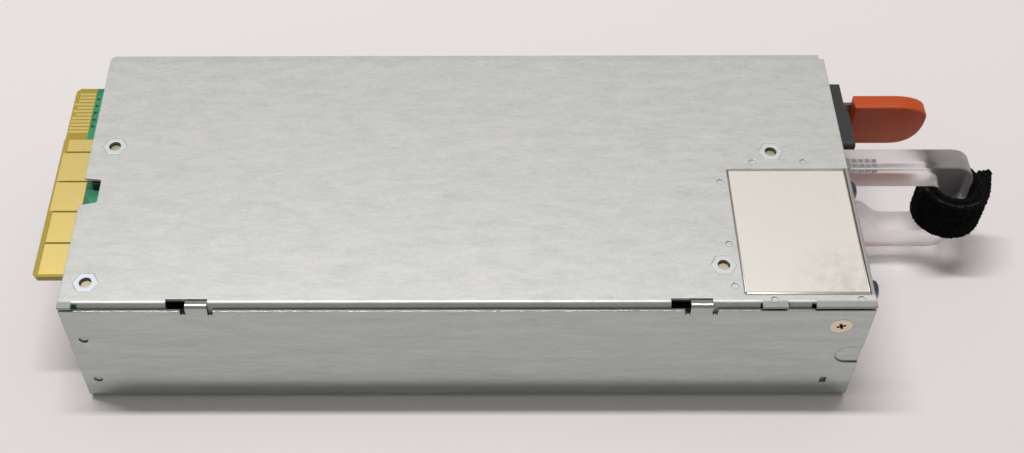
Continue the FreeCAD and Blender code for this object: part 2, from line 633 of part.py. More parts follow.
def blade():
    """One twisted fan blade, from inside the hub's wall to beyond the tip circle."""
    pitch_angle, chord = BLADE_ROOT
    spread = chord / 2 * math.cos(math.radians(pitch_angle))
    root = math.sqrt((HUB_RADIUS - CUP_WALL / 2) ** 2 - spread ** 2)
    return solid_between(blade_ring(root, *BLADE_ROOT), blade_ring(FAN_BORE, *BLADE_TIP))


def fan_rotor():
    centre = V(ROTOR_BACK, FAN_Y, FAN_Z)
    nose = taper(HUB_RADIUS - CUP_WALL, HUB_RADIUS, centre, ALONG_X, CUP_WALL, DRUM_SIDES)
    skirt = drum(HUB_RADIUS, centre + ALONG_X * CUP_WALL, ALONG_X, CUP_LENGTH - CUP_WALL, DRUM_SIDES)
    hollow = drum(HUB_RADIUS - CUP_WALL, centre + ALONG_X * CUP_WALL, ALONG_X, CUP_LENGTH, DRUM_SIDES)
    boss = drum(SHAFT_RADIUS + 1.2, centre, ALONG_X, 3.0, HEAD_SIDES)
    cup = join(join(nose, skirt).cut(hollow), boss)
    start, reach = V(ROTOR_BACK - 5, 0, 0), CUP_LENGTH + 10
    limit = drum(FAN_BORE - BLADE_GAP, start, ALONG_X, reach, BORE_SIDES)
    inside = drum(HUB_RADIUS - CUP_WALL / 2, start, ALONG_X, reach, DRUM_SIDES)
    blades = []
    for i in range(BLADE_COUNT):
        vane = blade()
        vane.translate(V(ROTOR_BACK + CUP_LENGTH / 2, 0, 0))
        vane.rotate(V(0, 0, 0), ALONG_X, i * 360.0 / BLADE_COUNT)
        vane = vane.common(limit).cut(inside)
        vane.translate(V(0, FAN_Y, FAN_Z))
        blades.append(vane)
    return join(cup, *blades).cut(rod(SHAFT_RADIUS, centre, ALONG_X, CUP_LENGTH))


def fan_inner():
    """Shaft, magnet ring, bearing tube, sleeve, stator and the fan's own circuit ring."""
    def at(x):
        return V(x, FAN_Y, FAN_Z)

    def ring(outer, inner, x, length):
        return drum(outer, at(x), ALONG_X, length, DRUM_SIDES).cut(rod(inner, at(x), ALONG_X, length))
    cup_in = ROTOR_BACK + CUP_WALL
    save("fan_shaft", rod(SHAFT_RADIUS, at(ROTOR_BACK), ALONG_X, SEAT_X + 0.6 - ROTOR_BACK))
    magnet_out = HUB_RADIUS - CUP_WALL
    magnet = drum(magnet_out, at(cup_in), ALONG_X, 16.0, DRUM_SIDES)
    save("fan_magnet_ring", magnet.cut(drum(magnet_out - MAGNET, at(cup_in), ALONG_X, 16.0, DRUM_SIDES)))
    tube_start = ROTOR_BACK + 3.4
    tube_length = SEAT_X + 1.4 - tube_start
    save("fan_bearing_tube", tube(BEARING_TUBE, SLEEVE_RADIUS, at(tube_start), ALONG_X, tube_length))
    save("fan_sleeve_bearing", tube(SLEEVE_RADIUS, SHAFT_RADIUS + SHAFT_GAP, at(tube_start), ALONG_X, 15.0))
    stator_out = magnet_out - MAGNET - 0.6
    slots = []
    for i in range(4):
        slot = block(cup_in, cup_in + 20, BEARING_TUBE + 1, stator_out + 1, -0.8, 0.8)
        slot.rotate(V(0, 0, 0), ALONG_X, 45 + 90 * i)
        slot.translate(V(0, FAN_Y, FAN_Z))
        slots.append(slot)
    save("fan_stator", carve(ring(stator_out, BEARING_TUBE, cup_in + 4.5, 9.0), *slots))
    save("fan_circuit", ring(stator_out + 0.2, BEARING_TUBE, cup_in + 15.0, 1.0))


# ---------------------------------------------------------------- handle end

def stub_low():
    """Underside of the handle's light stub, just below the board."""
    return BOARD_UNDER - LIGHT_STUB - CLEAR


def handle_screw_heights():
    return [HANDLE_LOW + 3.6, HANDLE_LOW + 9.4]


def handle():
    tip = FRONT + HANDLE_REACH
    high, low = HANDLE_LOW + HANDLE_HEIGHT, HANDLE_LOW
    near, far = HANDLE_Y - HANDLE_WIDTH / 2, HANDLE_Y + HANDLE_WIDTH / 2
    inner = HANDLE_CORNER / 2
    root_end = FRONT + ROOT_LENGTH
    profile = [(FRONT, high, 0), (tip, high, HANDLE_CORNER), (tip, low, HANDLE_CORNER), (FRONT, low, 0),
               (FRONT, low + HANDLE_ROOT, 0), (root_end, low + HANDLE_ROOT, 1.5),
               (root_end + ROOT_SLOPE, low + HANDLE_BAR, 3.0), (tip - HANDLE_BAR, low + HANDLE_BAR, inner),
               (tip - HANDLE_BAR, high - HANDLE_BAR, inner), (FRONT, high - HANDLE_BAR, 0)]
    loop = slab(profile, "XZ", near, far)
    edges = []
    for edge in loop.Edges:
        box = edge.BoundBox
        flat = abs(box.YMax - box.YMin) < 1e-6
        if flat and box.XMax > FRONT + 0.01:
            edges.append(edge)
    loop = loop.makeChamfer(0.6, edges)
    half = LIGHT_STUB / 2 + 0.5
    stub = block(PANEL_IN - LIGHT_STUB_REACH, FRONT + 0.5, HANDLE_Y - half, HANDLE_Y + half,
                 stub_low(), stub_low() + LIGHT_STUB)
    shape = join(loop, stub)
    holes = [drum(BOARD_SCREW + FIT, V(FRONT - 1, HANDLE_Y, z), ALONG_X, 8.5, PIN_SIDES)
             for z in handle_screw_heights()]
    return carve(shape, *holes)


def handle_screws():
    return [pan_screw(V(PANEL_IN, HANDLE_Y, z), ALONG_X * -1, SHEET + 6.5) for z in handle_screw_heights()]


def strap():
    """The strap rolled round the grip: half turns whose radius grows, then a straight tail."""

    def rail(start_radius):
        """One face of the strap, as joined half circles on two alternating centres, and its end."""
        edges = []
        radius, here = start_radius, STRAP_X - start_radius
        for i in range(STRAP_HALVES):
            side = 1 if i % 2 == 0 else -1
            middle, last = here + side * radius, here + side * 2 * radius
            arc = Part.Arc(V(here, HANDLE_Y, 0), V(middle, HANDLE_Y - side * radius, 0), V(last, HANDLE_Y, 0))
            edges.append(arc.toShape())
            here = last
            radius += STRAP_LAP / 2
        end = V(here, HANDLE_Y + STRAP_TAIL, 0)
        edges.append(Part.LineSegment(V(here, HANDLE_Y, 0), end).toShape())
        return edges, end
    inner, inner_end = rail(STRAP_BORE)
    outer, outer_end = rail(STRAP_BORE + STRAP_THICK)
    start = V(STRAP_X - STRAP_BORE, HANDLE_Y, 0)
    caps = [Part.LineSegment(start, start - ALONG_X * STRAP_THICK).toShape(),
            Part.LineSegment(inner_end, outer_end).toShape()]
    wire = Part.Wire(Part.__sortEdges__(inner + outer + caps))
    roll = Part.Face(wire).extrude(ALONG_Z * STRAP_WIDTH)
    roll.translate(V(0, 0, STRAP_LOW))
    roll.rotate(V(STRAP_X, HANDLE_Y, 0), ALONG_Z, STRAP_TURN)
    return roll


def socket_body():
    """Width and height of the inlet's body behind its flange."""
    return SOCKET_WIDTH + 2 * INLET_WALL, SOCKET_HEIGHT + 2 * INLET_WALL


def inlet():
    face = INLET_FACE
    flange = slab(around(INLET_Y, INLET_WIDTH, INLET_Z, INLET_HEIGHT, 1.2), "YZ", FRONT, face)
    step_y = INLET_NEAR + INLET_STEP_WIDTH / 2
    step = slab(around(step_y, INLET_STEP_WIDTH, INLET_Z, INLET_HEIGHT, 1.2), "YZ", FRONT, face + INLET_STEP)
    width, height = socket_body()
    body = slab(around(INLET_Y, width, INLET_Z, height, 0.8), "YZ", INLET_BACK, FRONT + 1)
    a, b, c = SOCKET_WIDTH / 2, SOCKET_HEIGHT / 2, SOCKET_CHAMFER
    corners = [(-a, -b), (a - c, -b), (a, -b + c), (a, b - c), (a - c, b), (-a, b)]
    cavity = slab([(INLET_Y + y, INLET_Z + z, 0.8) for y, z in corners], "YZ", face - SOCKET_DEPTH,
                  face + INLET_STEP + 1)
    slots = [block(INLET_BACK - 1, face, *limits) for limits in blade_sections()]
    return carve(join(flange, step, body), cavity, *slots)


def blade_sections():
    """Y and Z limits of the line, neutral and earth blades."""
    sections = []
    for y, z in ((-2.5, -BLADE_RISE), (-2.5, BLADE_RISE), (3.0, 0.0)):
        middle_y, middle_z = INLET_Y + y, INLET_Z + z
        sections.append((middle_y - BLADE_WIDE / 2, middle_y + BLADE_WIDE / 2,
                         middle_z - BLADE_THIN / 2, middle_z + BLADE_THIN / 2))
    return sections


def inlet_blades():
    """Each blade runs out of the socket's floor and turns up to the board behind the body."""
    made = []
    for (y0, y1, z0, z1), run in zip(blade_sections(), (4.4, 1.6, 3.0)):
        tail = INLET_BACK - run
        blade_bar = block(tail, INLET_FACE - 2.5, y0, y1, z0, z1)
        post = block(tail, tail + SHEET, y0, y1, z0, BOARD_UNDER)
        made.append(join(blade_bar, post))
    return made


# ---------------------------------------------------------------- latch

def latch_arm():
    """The spring strip: along the case's wall, then a jog inwards and out through the faceplate."""
    inner, outside = LATCH_Y - ARM / 2, ARM_OUTSIDE
    jog = FRONT - 6.0
    end = FRONT + TAB_START + TAB_LENGTH - 6.0
    line = [(LATCH_X + CLEAR, inner, 0), (jog, inner, 0.8), (jog + 3.0, outside, 0.8), (end, outside, 0),
            (end, outside + ARM, 0), (jog + 3.0, outside + ARM, 0.8), (jog, inner + ARM, 0.8),
            (LATCH_X + CLEAR, inner + ARM, 0)]
    return slab(line, "XY", LATCH_LOW, LATCH_HIGH)


def latch_foot():
    """The riveted end of the spring strip, on the tray's lug."""
    plate = block(LATCH_X - FOOT_LENGTH, LATCH_X, LATCH_Y - ARM / 2, FLANGE_IN, LATCH_LOW, LATCH_HIGH)
    holes = [rod(RIVET_RADIUS, V(x, LATCH_Y - ARM, LATCH_Z), ALONG_Y, 5) for x in RIVET_STATIONS]
    return carve(plate, *holes)


def latch_rivets():
    """Each rivet fills its holes, with its head on the inner side."""
    made = []
    face = LATCH_Y - ARM / 2
    for x in RIVET_STATIONS:
        shank = rod(RIVET_RADIUS, V(x, face - 0.2, LATCH_Z), ALONG_Y, FLANGE_OUT - face + 0.2)
        head = drum(2.2, V(x, face - 1.0, LATCH_Z), ALONG_Y, 1.0, HEAD_SIDES)
        made.append(join(shank, head))
    return made


def latch_hook():
    """A wedge on the arm: its slope meets the bay first, its square face holds the supply in."""
    front = FRONT - HOOK_SETBACK
    back = front - CATCH_LENGTH
    foot, out = LATCH_Y + ARM / 2, SIDE + CATCH_PROUD
    slope = [(back, foot, 0), (front, foot, 0), (front, out, 0.5), (front - 2.5, out, 0.5),
             (back, foot + 0.8, 0)]
    return slab(slope, "XY", LATCH_LOW + 0.5, LATCH_HIGH - 0.5)


def latch_tab():
    start = FRONT + TAB_START
    end = start + TAB_LENGTH
    half = TAB_HEIGHT / 2
    nose = half - 0.05
    profile = [(start, LATCH_Z - half, 0.8), (end, LATCH_Z - half, nose),
               (end, LATCH_Z + half, nose), (start, LATCH_Z + half, 0.8)]
    shape = slab(profile, "XZ", TAB_FAR - TAB_THICK, TAB_FAR)
    rims = [e for e in shape.Edges if abs(e.BoundBox.YMax - e.BoundBox.YMin) < 1e-6]
    shape = shape.makeChamfer(0.5, rims)
    return shape.cut(block(start - 1, end - 6.0, ARM_OUTSIDE, ARM_OUTSIDE + ARM, LATCH_LOW, LATCH_HIGH))


# ---------------------------------------------------------------- board and card edge

def main_board():
    """The board with its card tongue at the rear, and an arm beside the fan to the front."""
    inside = REAR + SHEET + CLEAR
    front = BAY_REAR + 1.2
    arm_front = FRONT - 8.0
    arm_near = max(BAY_FAR, FAN_Y + FAN_SIZE / 2) + 0.6
    signal_tip, signal_low = CARD_TIP + CARD_STEP, CARD_HIGH - PAD_INSET + PAD_SPACE
    corners = [(CARD_TIP, CARD_LOW + CARD_CHAMFER, 0), (CARD_TIP + CARD_CHAMFER, CARD_LOW, 0),
               (inside, CARD_LOW, 0), (inside, -BOARD_EDGE, 1.0), (front, -BOARD_EDGE, 1.0),
               (front, arm_near, 1.0), (arm_front, arm_near, 1.0), (arm_front, BOARD_EDGE, 1.0),
               (inside, BOARD_EDGE, 1.0), (inside, CARD_HIGH, 0), (signal_tip + CARD_CHAMFER, CARD_HIGH, 0),
               (signal_tip, CARD_HIGH - CARD_CHAMFER, 0), (signal_tip, signal_low, 0),
               (CARD_TIP, signal_low, 0)]
    shape = slab(corners, "XY", BOARD_UNDER, BOARD_TOP)
    # the tongue's leading edge is bevelled on both faces
    run, depth = CARD_BEVEL, CARD_BEVEL * 0.75
    for z, way in ((BOARD_TOP, -1), (BOARD_UNDER, 1)):
        section = [(CARD_TIP - 1, z + way * depth * (1 + 1 / run)), (CARD_TIP - 1, z - way),
                   (CARD_TIP + run, z - way), (CARD_TIP + run, z)]
        points = [V(x, CARD_LOW - 1, height) for x, height in section]
        wedge = Part.Face(Part.makePolygon(points + points[:1]))
        shape = shape.cut(wedge.extrude(ALONG_Y * (CARD_WIDTH + 2)))
    holes = [drum(BOARD_SCREW + 0.2, V(x, y, BOARD_UNDER - 1), ALONG_Z, BOARD + 2, HEAD_SIDES)
             for x, y in STANDOFF_SPOTS]
    return carve(shape, *holes)


def contacts(spans, length):
    """Gold plates on both faces of the tongue; spans holds each one's low and high Y and its setback."""
    start = CARD_TIP + CONTACT_INSET
    made = []
    for low, high, setback in spans:
        for z in (BOARD_TOP, BOARD_UNDER - PAD):
            made.append(block(start + setback, start + length, low, high, z, z + PAD))
    return made


def power_pads():
    spans = []
    high = CARD_HIGH - PAD_INSET
    for width, setback in zip(PAD_WIDTHS, PAD_LEADS):
        spans.append((high - width, high, setback))
        high -= width + PAD_SPACE
    return contacts(spans, PAD_LENGTH + 0.7)


def signal_fingers():
    spans = []
    for i in range(FINGER_COUNT):
        middle = CARD_HIGH - FINGER_INSET - FINGER_PITCH * i
        setback = 0.0 if i in LONG_FINGERS else 0.9
        spans.append((middle - FINGER_WIDTH / 2, middle + FINGER_WIDTH / 2, setback))
    return contacts(spans, FINGER_LENGTH)


# ---------------------------------------------------------------- parts under the board
# Their places and sizes are shares of their stage's run, the board's width and the room below it.

def across(share):
    """A place across the board, from 0 at its near edge to 1 at its far edge."""
    return BOARD_EDGE * (2 * share - 1)


def hang(run, x_share, x, y_share, y, height, radius=0.5):
    """A box-shaped part under the board: its shares of run and board width, and its middle."""
    return slab(around(x, run * x_share, y, BOARD_WIDTH * y_share, radius), "XY",
                BOARD_UNDER - height, BOARD_UNDER)


def can(radius, height, x, y):
    """A capacitor can, standing on the board, with its rim turned over at the far end."""
    rim = radius * 0.08
    body = drum(radius, V(x, y, BOARD_UNDER - height + rim), ALONG_Z, height - rim, CAN_SIDES)
    end = taper(radius - rim, radius, V(x, y, BOARD_UNDER - height), ALONG_Z, rim, CAN_SIDES)
    return join(body, end)


def toroid(outer, height, x, y):
    """A choke lying flat: its core ring, and the winding in two halves round it."""
    low, inner, wire = BOARD_UNDER - height, outer * 0.45, outer * 0.12

    def ring(cover):
        out = drum(outer - cover, V(x, y, low + cover), ALONG_Z, height - 2 * cover, DRUM_SIDES)
        return out.cut(drum(inner + cover, V(x, y, low), ALONG_Z, height, DRUM_SIDES))
    core = ring(wire)
    gap = block(x - outer - 1, x + outer + 1, y - wire, y + wire, low - 1, BOARD_UNDER + 1)
    return core, ring(0).cut(core).cut(gap)


def line_filter():
    run, start = FILTER_RUN, FILTER_START
    save("fuse", drum(2.6, V(BAY_REAR - 5, BOARD_EDGE - 5, BOARD_UNDER - 2.6), ALONG_X, 20.0, HEAD_SIDES))
    save("x_capacitors", hang(run, 0.25, BAY_REAR + 5.4, 0.2, across(0.785), ROOM * 0.45),
         hang(run, 0.25, start + run * 0.13, 0.2, across(0.15), ROOM * 0.45))
    cores, windings = [], []
    for size, x_share, y_share in ((0.154, 0.53, 0.78), (0.135, 0.48, 0.46)):
        core, winding = toroid(min(BOARD_WIDTH * size, run * size * 2.45), ROOM * 0.36,
                               start + run * x_share, across(y_share))
        cores.append(core)
        windings.append(winding)
    save("filter_choke_cores", *cores)
    save("filter_choke_windings", *windings)
    disc = ROOM * 0.13
    save("y_capacitors", *[drum(disc, V(start + run * share, across(0.94), BOARD_UNDER - disc), ALONG_X,
                                run * 0.07, HEAD_SIDES) for share in (0.01, 0.13)])
    save("relay", hang(run, 0.5, start + run * 0.73, 0.125, across(0.24), ROOM * 0.45))
    bead = BOARD_WIDTH * 0.08
    save("inrush_thermistor", drum(bead, V(start + run * 0.29, across(0.12), BOARD_UNDER - bead), ALONG_X,
                                   run * 0.12, HEAD_SIDES))


def legged(x, width, y, depth, low):
    """A power package flat on a heatsink's near face, with a leg up to the board."""
    middle = x + width / 2
    case = block(x, x + width, y - depth, y, low, BOARD_UNDER - 3.0)
    leg = block(middle - 0.5, middle + 0.5, y - depth * 0.6, y - depth * 0.4, BOARD_UNDER - 4.0, BOARD_UNDER)
    return join(case, leg)


def boost_stage():
    run, start = BOOST_RUN, BOOST_START
    outer = min(run * 0.45, BOARD_WIDTH * 0.183)
    core, winding = toroid(outer, ROOM * 0.45, start + run * 0.46, across(0.24))
    save("boost_choke_core", core)
    save("boost_choke_winding", winding)
    low, face, back = BOARD_UNDER - ROOM * 0.925, across(0.672), across(0.807)
    left, right = start + run * 0.15, start + run
    fins = [block(left, right, across(share), across(share) + 1.4, low, BOARD_UNDER - 8)
            for share in (0.715, 0.752)]
    base = block(left, right, face, face + 2.2, low, BOARD_UNDER)
    wall = block(left, right, back - 1.4, back, low, BOARD_UNDER - 8)
    web = block(left, right, face + 1, back, low, low + 1.8)
    save("boost_heatsink", join(base, web, wall, *fins))
    save("bridge_rectifier", block(start + run * 0.7, right - 0.5, face - 3.6, face, BOARD_UNDER - ROOM * 0.6,
                                   BOARD_UNDER))
    save("boost_switches", *[legged(start + run * share, run * 0.21, face, 3.0, BOARD_UNDER - ROOM * 0.48)
                             for share in (0.18, 0.44)])
    run, start = STORAGE_RUN, STORAGE_START
    radius = min(run * 0.375, BOARD_WIDTH * 0.153)
    save("bulk_capacitors", *[can(radius, ROOM * 0.91, start + run * 0.55, across(share))
                              for share in (0.174, 0.506)])


def bridge_stage():
    run, start = STORAGE_RUN, STORAGE_START
    low, face, depth = BOARD_UNDER - ROOM * 0.88, across(0.795), BOARD_WIDTH * 0.1
    left, right = start + run * 0.03, start + run * 0.97
    base = block(left, right, face, face + 2.2, low, BOARD_UNDER)
    fins = [block(left, right, face + 2.0, face + depth, low + ROOM * share, low + ROOM * share + 1.2)
            for share in (0.0, 0.18, 0.36, 0.58)]
    save("primary_heatsink", join(base, *fins))
    save("bridge_switches", *[legged(start + run * share, run * 0.3, face, 3.2, BOARD_UNDER - ROOM * 0.5)
                              for share in (0.09, 0.52)])


def transformer(width, depth, height, x, y):
    """An E core round a winding: core with a window, and the coil that fills it."""
    low = BOARD_UNDER - height
    core = block(x - width / 2, x + width / 2, y - depth / 2, y + depth / 2, low, BOARD_UNDER)
    side = min(width, depth * 1.4) * 0.16
    coil_low, coil_high = low + side, BOARD_UNDER - side
    window = block(x - width / 2 + side, x + width / 2 - side, y - depth, y + depth, coil_low, coil_high)
    post = drum(width * 0.17, V(x, y, low), ALONG_Z, height, DRUM_SIDES)
    coil = drum(width / 2 - side - 0.1, V(x, y, coil_low), ALONG_Z, coil_high - coil_low, DRUM_SIDES)
    return join(core.cut(window), post.common(core)), coil.cut(post)


def isolation():
    run, start = ISOLATION_RUN, ISOLATION_START
    for name, size_x, size_y, size_z, x_share, y_share in (
            ("main_transformer", 0.94, 0.296, 0.83, 0.5, 0.6),
            ("resonant_choke", 0.66, 0.222, 0.6, 0.58, 0.23),
            ("standby_transformer", 0.48, 0.148, 0.5, 0.58, 0.9)):
        core, coil = transformer(run * size_x, BOARD_WIDTH * size_y, ROOM * size_z, start + run * x_share,
                                 across(y_share))
        save(name + "_core", core)
        save(name + "_coil", coil)


def output_stage():
    run = OUTPUT_RUN
    x = REAR + run * 0.634
    low = BOARD_UNDER - ROOM * 0.71
    base = block(x, x + 2.0, across(0.13), across(0.77), low, BOARD_UNDER)
    shares = [0.13 + 0.105 * i for i in range(6)]
    fins = [block(x + 1.5, x + run * 0.18, across(share), across(share) + 1.2, low, BOARD_UNDER - 8.0)
            for share in shares]
    save("output_heatsink", join(base, *fins))
    save("output_rectifiers", *[block(x + 2.0, x + 5.2, across(share + 0.026), across(share + 0.09),
                                      BOARD_UNDER - 7.0, BOARD_UNDER) for share in shares[:5]])
    radius = min(run * 0.12, BOARD_WIDTH * 0.049)
    save("output_capacitors", *[can(radius, ROOM * 0.36, REAR + run * 0.468, across(0.18 + 0.11 * i))
                                for i in range(6)])
    # the busbars lie between the two rear board screws
    near, far = STANDOFF_SPOTS[1][1] + 6.3, STANDOFF_SPOTS[0][1] - 3.8
    split = near + (far - near) * 0.607
    save("output_busbars", *[block(REAR + 2.5, REAR + 9.5, y0, y1, BOARD_UNDER - 1.5, BOARD_UNDER)
                             for y0, y1 in ((near, split - 1), (split + 1, far))])


def control():
    y = BOARD_EDGE - 12.0
    x0, x1 = REAR + 6.0, ISOLATION_START + ISOLATION_RUN * 0.2
    span = x1 - x0
    card = rounded(x0, x1, BOARD_UNDER - ROOM * 0.71, BOARD_UNDER, 0.5)
    save("control_board", slab(card, "XZ", y, y + 1.2))
    chips = [block(x0 + span * share, x0 + span * share + w, y - 1.2, y, BOARD_UNDER - z - h, BOARD_UNDER - z)
             for share, w, z, h in ((0.12, 9.0, 6.0, 9.0), (0.53, 6.0, 5.0, 5.0), (0.53, 5.0, 14.0, 6.0))]
    save("control_chips", *chips)
    lamp = PANEL_IN - LIGHT_STUB_REACH - CLEAR - 1.5
    save("status_light", slab(around(lamp, 3.0, HANDLE_Y, 4.0, 0.3), "XY", BOARD_UNDER - LIGHT_STUB,
                              BOARD_UNDER))


def main():
    os.makedirs("parts", exist_ok=True)
    save("tray", tray())
    save("cover", cover())
    save("rear_panel", rear_panel())
    save("faceplate", faceplate())
    save("fan_bay_plate", bay_plate())
    save("insulating_sheet", insulator())
    save("clinch_standoffs", *standoffs())
    save("board_screws", *board_screws())
    save("cover_screws", *cover_screws())
    save("fan_screws", *fan_screws())
    save("fan_frame", fan_frame())
    save("fan_rotor", fan_rotor())
    fan_inner()
    save("handle", handle())
    save("handle_screws", *handle_screws())
    save("strap", strap())
    save("inlet_body", inlet())
    save("inlet_blades", *inlet_blades())
    save("latch_arm", latch_arm())
    save("latch_foot", latch_foot())
    save("latch_rivets", *latch_rivets())
    save("latch_hook", latch_hook())
    save("latch_tab", latch_tab())
    save("main_board", main_board())
    save("power_pads", *power_pads())
    save("signal_fingers", *signal_fingers())
    line_filter()
    boost_stage()
    bridge_stage()
    isolation()
    output_stage()
    control()


main()
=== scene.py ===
"""Looks for a hot swap server power supply: zinc sheet case, card edge, fan bay, handle, strap and latch."""
import math
import random

import bmesh
import bpy
from mathutils import Matrix, Vector


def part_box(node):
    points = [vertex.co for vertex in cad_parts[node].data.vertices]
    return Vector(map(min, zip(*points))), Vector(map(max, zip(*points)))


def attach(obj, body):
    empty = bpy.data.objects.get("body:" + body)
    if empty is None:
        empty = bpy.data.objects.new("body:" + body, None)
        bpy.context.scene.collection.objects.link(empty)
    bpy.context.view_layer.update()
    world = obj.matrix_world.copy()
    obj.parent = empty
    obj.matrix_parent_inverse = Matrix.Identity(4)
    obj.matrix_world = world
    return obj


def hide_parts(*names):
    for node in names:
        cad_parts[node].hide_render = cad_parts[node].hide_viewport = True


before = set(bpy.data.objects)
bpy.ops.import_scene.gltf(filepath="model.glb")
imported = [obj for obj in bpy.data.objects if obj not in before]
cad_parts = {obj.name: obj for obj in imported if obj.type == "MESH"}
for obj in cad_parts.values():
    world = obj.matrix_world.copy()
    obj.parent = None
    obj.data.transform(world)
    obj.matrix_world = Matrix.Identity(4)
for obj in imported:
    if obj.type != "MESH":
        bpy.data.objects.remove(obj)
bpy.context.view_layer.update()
MM = 0.001
UP = Vector((0, 0, 1))


def node_box(name):
    """A node's low and high corners, in millimetres."""
    low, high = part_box(name)
    return low / MM, high / MM


# ---------------------------------------------------------------- sizes and places, in millimetres

CASE_LOW, CASE_HIGH = node_box("cover")
SHEET = 0.8
TRAY_BEND = 1.2             # outer radius along the tray's top edges

# the fan bay's window in the tray, over a plate that reaches PLATE_LAP under it
PLATE_LAP = 4.1
PLATE_LOW, PLATE_HIGH = node_box("fan_bay_plate")
BAY_REAR, BAY_FRONT = PLATE_LOW.x + PLATE_LAP, CASE_HIGH.x - SHEET
BAY_NEAR, BAY_FAR = CASE_LOW.y + 3.6, PLATE_HIGH.y - PLATE_LAP

# the two by the card edge, the one beside the bay and the one behind it
STANDOFF_SPOTS = ((CASE_LOW.x + 6.1, CASE_HIGH.y - 33.6), (CASE_LOW.x + 5.7, CASE_LOW.y + 7.7),
                  (BAY_REAR + 12.35, BAY_FAR + 6.0), (BAY_REAR - 4.0, BAY_NEAR + 9.2))
BRIGHT_STANDOFF = 1
STANDOFF_FLAT, STANDOFF_BORE, STANDOFF_BARREL = 5.5, 1.5, 2.6
STANDOFF_RIM, STANDOFF_SINK = 0.14, 0.02

# screws: head radius, head height, shank radius, thread pitch
HEAD, HEAD_HEIGHT, SHANK, PITCH = 2.8, 2.2, 1.45, 0.5
COVER_SCREW_LENGTH = 4.4
# cross recesses: arm length, arm width, depth, height of the face that they are cut in
PAN_RECESS = (1.35, 0.62, 1.1, HEAD_HEIGHT)
FLUSH_RECESS = (1.7, 0.75, 1.2, 0.0)

# the key pressed into the cover's near wall
KEY_RADIUS = 3.4
KEY_X, KEY_Z = CASE_HIGH.x - 6.2 + KEY_RADIUS, 16.1 + KEY_RADIUS

# the formed pins in the cover's round holes
PIN_HEIGHTS = (8.8, CASE_HIGH.z - 13.6)
PIN_HALF_SIZES, PIN_TILT, PIN_SETBACK, PIN_INSET = (0.42, 0.28, 0.95), 0.75, 3.85, 0.7

# the solder mask stops MASK_GAP short of the contacts, and further out beyond SIGNAL_EDGE
MASK_GAP = 0.15
MASK_LINE = node_box("signal_fingers")[1].x + MASK_GAP
PAD_LINE = node_box("power_pads")[1].x + MASK_GAP
SIGNAL_EDGE = 13.4
CARD_END = node_box("main_board")[0].x
# small plated holes in one row: pitch, start of a pitch, middle of the row, half its length, radius
VIA_PITCH, VIA_START, VIA_MIDDLE, VIA_REACH, VIA_RADIUS = 2.54, 499.2, 26.0, 6.2, 0.36
VIA_SETBACK = 0.75
PAD_SHADE_START, PAD_SHADE_NEAR = 1.4, -28.7      # painted shade on the bare laminate between the pads, from the card's end and in Y

# handle
HANDLE_BAR, HANDLE_CORNER, HANDLE_INNER, HANDLE_RIM = 7.3, 6.0, 3.0, 0.4
ROOT_HIGH, ROOT_LENGTH, ROOT_SLOPE, ROOT_SOFT = 12.7, 9.5, 6.0, 2.0
STUB_WIDE, STUB_TALL, STUB_DROP = 5.0, 4.0, 0.3
LENS_ROWS, LENS_COLUMNS, LENS_PITCH = 3, 5, 1.7
LENS_RADIUS, LENS_FLAT, LENS_RISE, LENS_SINK = 1.0, 0.35, 0.3, 0.02
LENS_START, LENS_INSET, LENS_DROP = 1.7, 1.1, 1.25

# press tab: length of its round end, share of its height below the widest point, fullness of both quarters
TAB_ROUND, TAB_SPLIT, TAB_UPPER, TAB_LOWER, TAB_RIM = 9.6, 0.7, 0.95, 0.8, 0.7

# strap: a roll of half turns whose radius grows by half a lap each, and a straight tail
STRAP_BORE, STRAP_THICK, STRAP_LAP, STRAP_HALVES, STRAP_TAIL, STRAP_TURN = 5.5, 1.5, 2.0, 3, 7.0, -15.0
STRAP_SETBACK = 2.6         # from the handle's end to the middle of the roll
STRAP_CELL, STRAP_ROWS, STRAP_SEED = 0.55, 22, 7
LINING_THICK, LINING_STEPS, LINING_OUT, LINING_INSET = 1.7, 12, 1.1, 0.3
SEAM_RADIUS, SEAM_START, SEAM_RUN, SEAM_DEPTH = 0.14, 0.35, 2.2, 0.55
TUFT, TUFT_LONG, TUFT_SHORT, TUFT_JITTER = 0.16, 0.34, 0.1, 0.14


# ---------------------------------------------------------------- shader building blocks

def add(tree, kind, inputs=None, **settings):
    """A node with its settings, its input values and the sockets linked into it."""
    node = tree.nodes.new(kind)
    for key, value in settings.items():
        setattr(node, key, value)
    for key, value in (inputs or {}).items():
        if isinstance(value, bpy.types.NodeSocket):
            tree.links.new(value, node.inputs[key])
        else:
            node.inputs[key].default_value = value
    return node


def math_of(tree, operation, *values, clamp=False):
    settings = {"operation": operation, "use_clamp": clamp}
    return add(tree, "ShaderNodeMath", dict(enumerate(values)), **settings).outputs[0]


def times(tree, value, *others):
    for other in others:
        value = math_of(tree, "MULTIPLY", value, other)
    return value


def gap_to(tree, value, middle):
    """How far a value lies from the middle, either way."""
    return math_of(tree, "ABSOLUTE", math_of(tree, "SUBTRACT", value, middle))


def length_of(tree, one, other):
    """The length of a vector from its two parts."""
    return math_of(tree, "SQRT", math_of(tree, "ADD", times(tree, one, one), times(tree, other, other)))


def object_place(tree):
    """The shaded point in the piece's own coordinates."""
    return add(tree, "ShaderNodeTexCoord").outputs["Object"]


def parts_of(tree, vector):
    return add(tree, "ShaderNodeSeparateXYZ", {0: vector}).outputs[:]


def mix(tree, factor, low, high, blend="MIX"):
    node = add(tree, "ShaderNodeMix", {0: factor, 6: low, 7: high}, data_type="RGBA", blend_type=blend)
    return node.outputs[2]


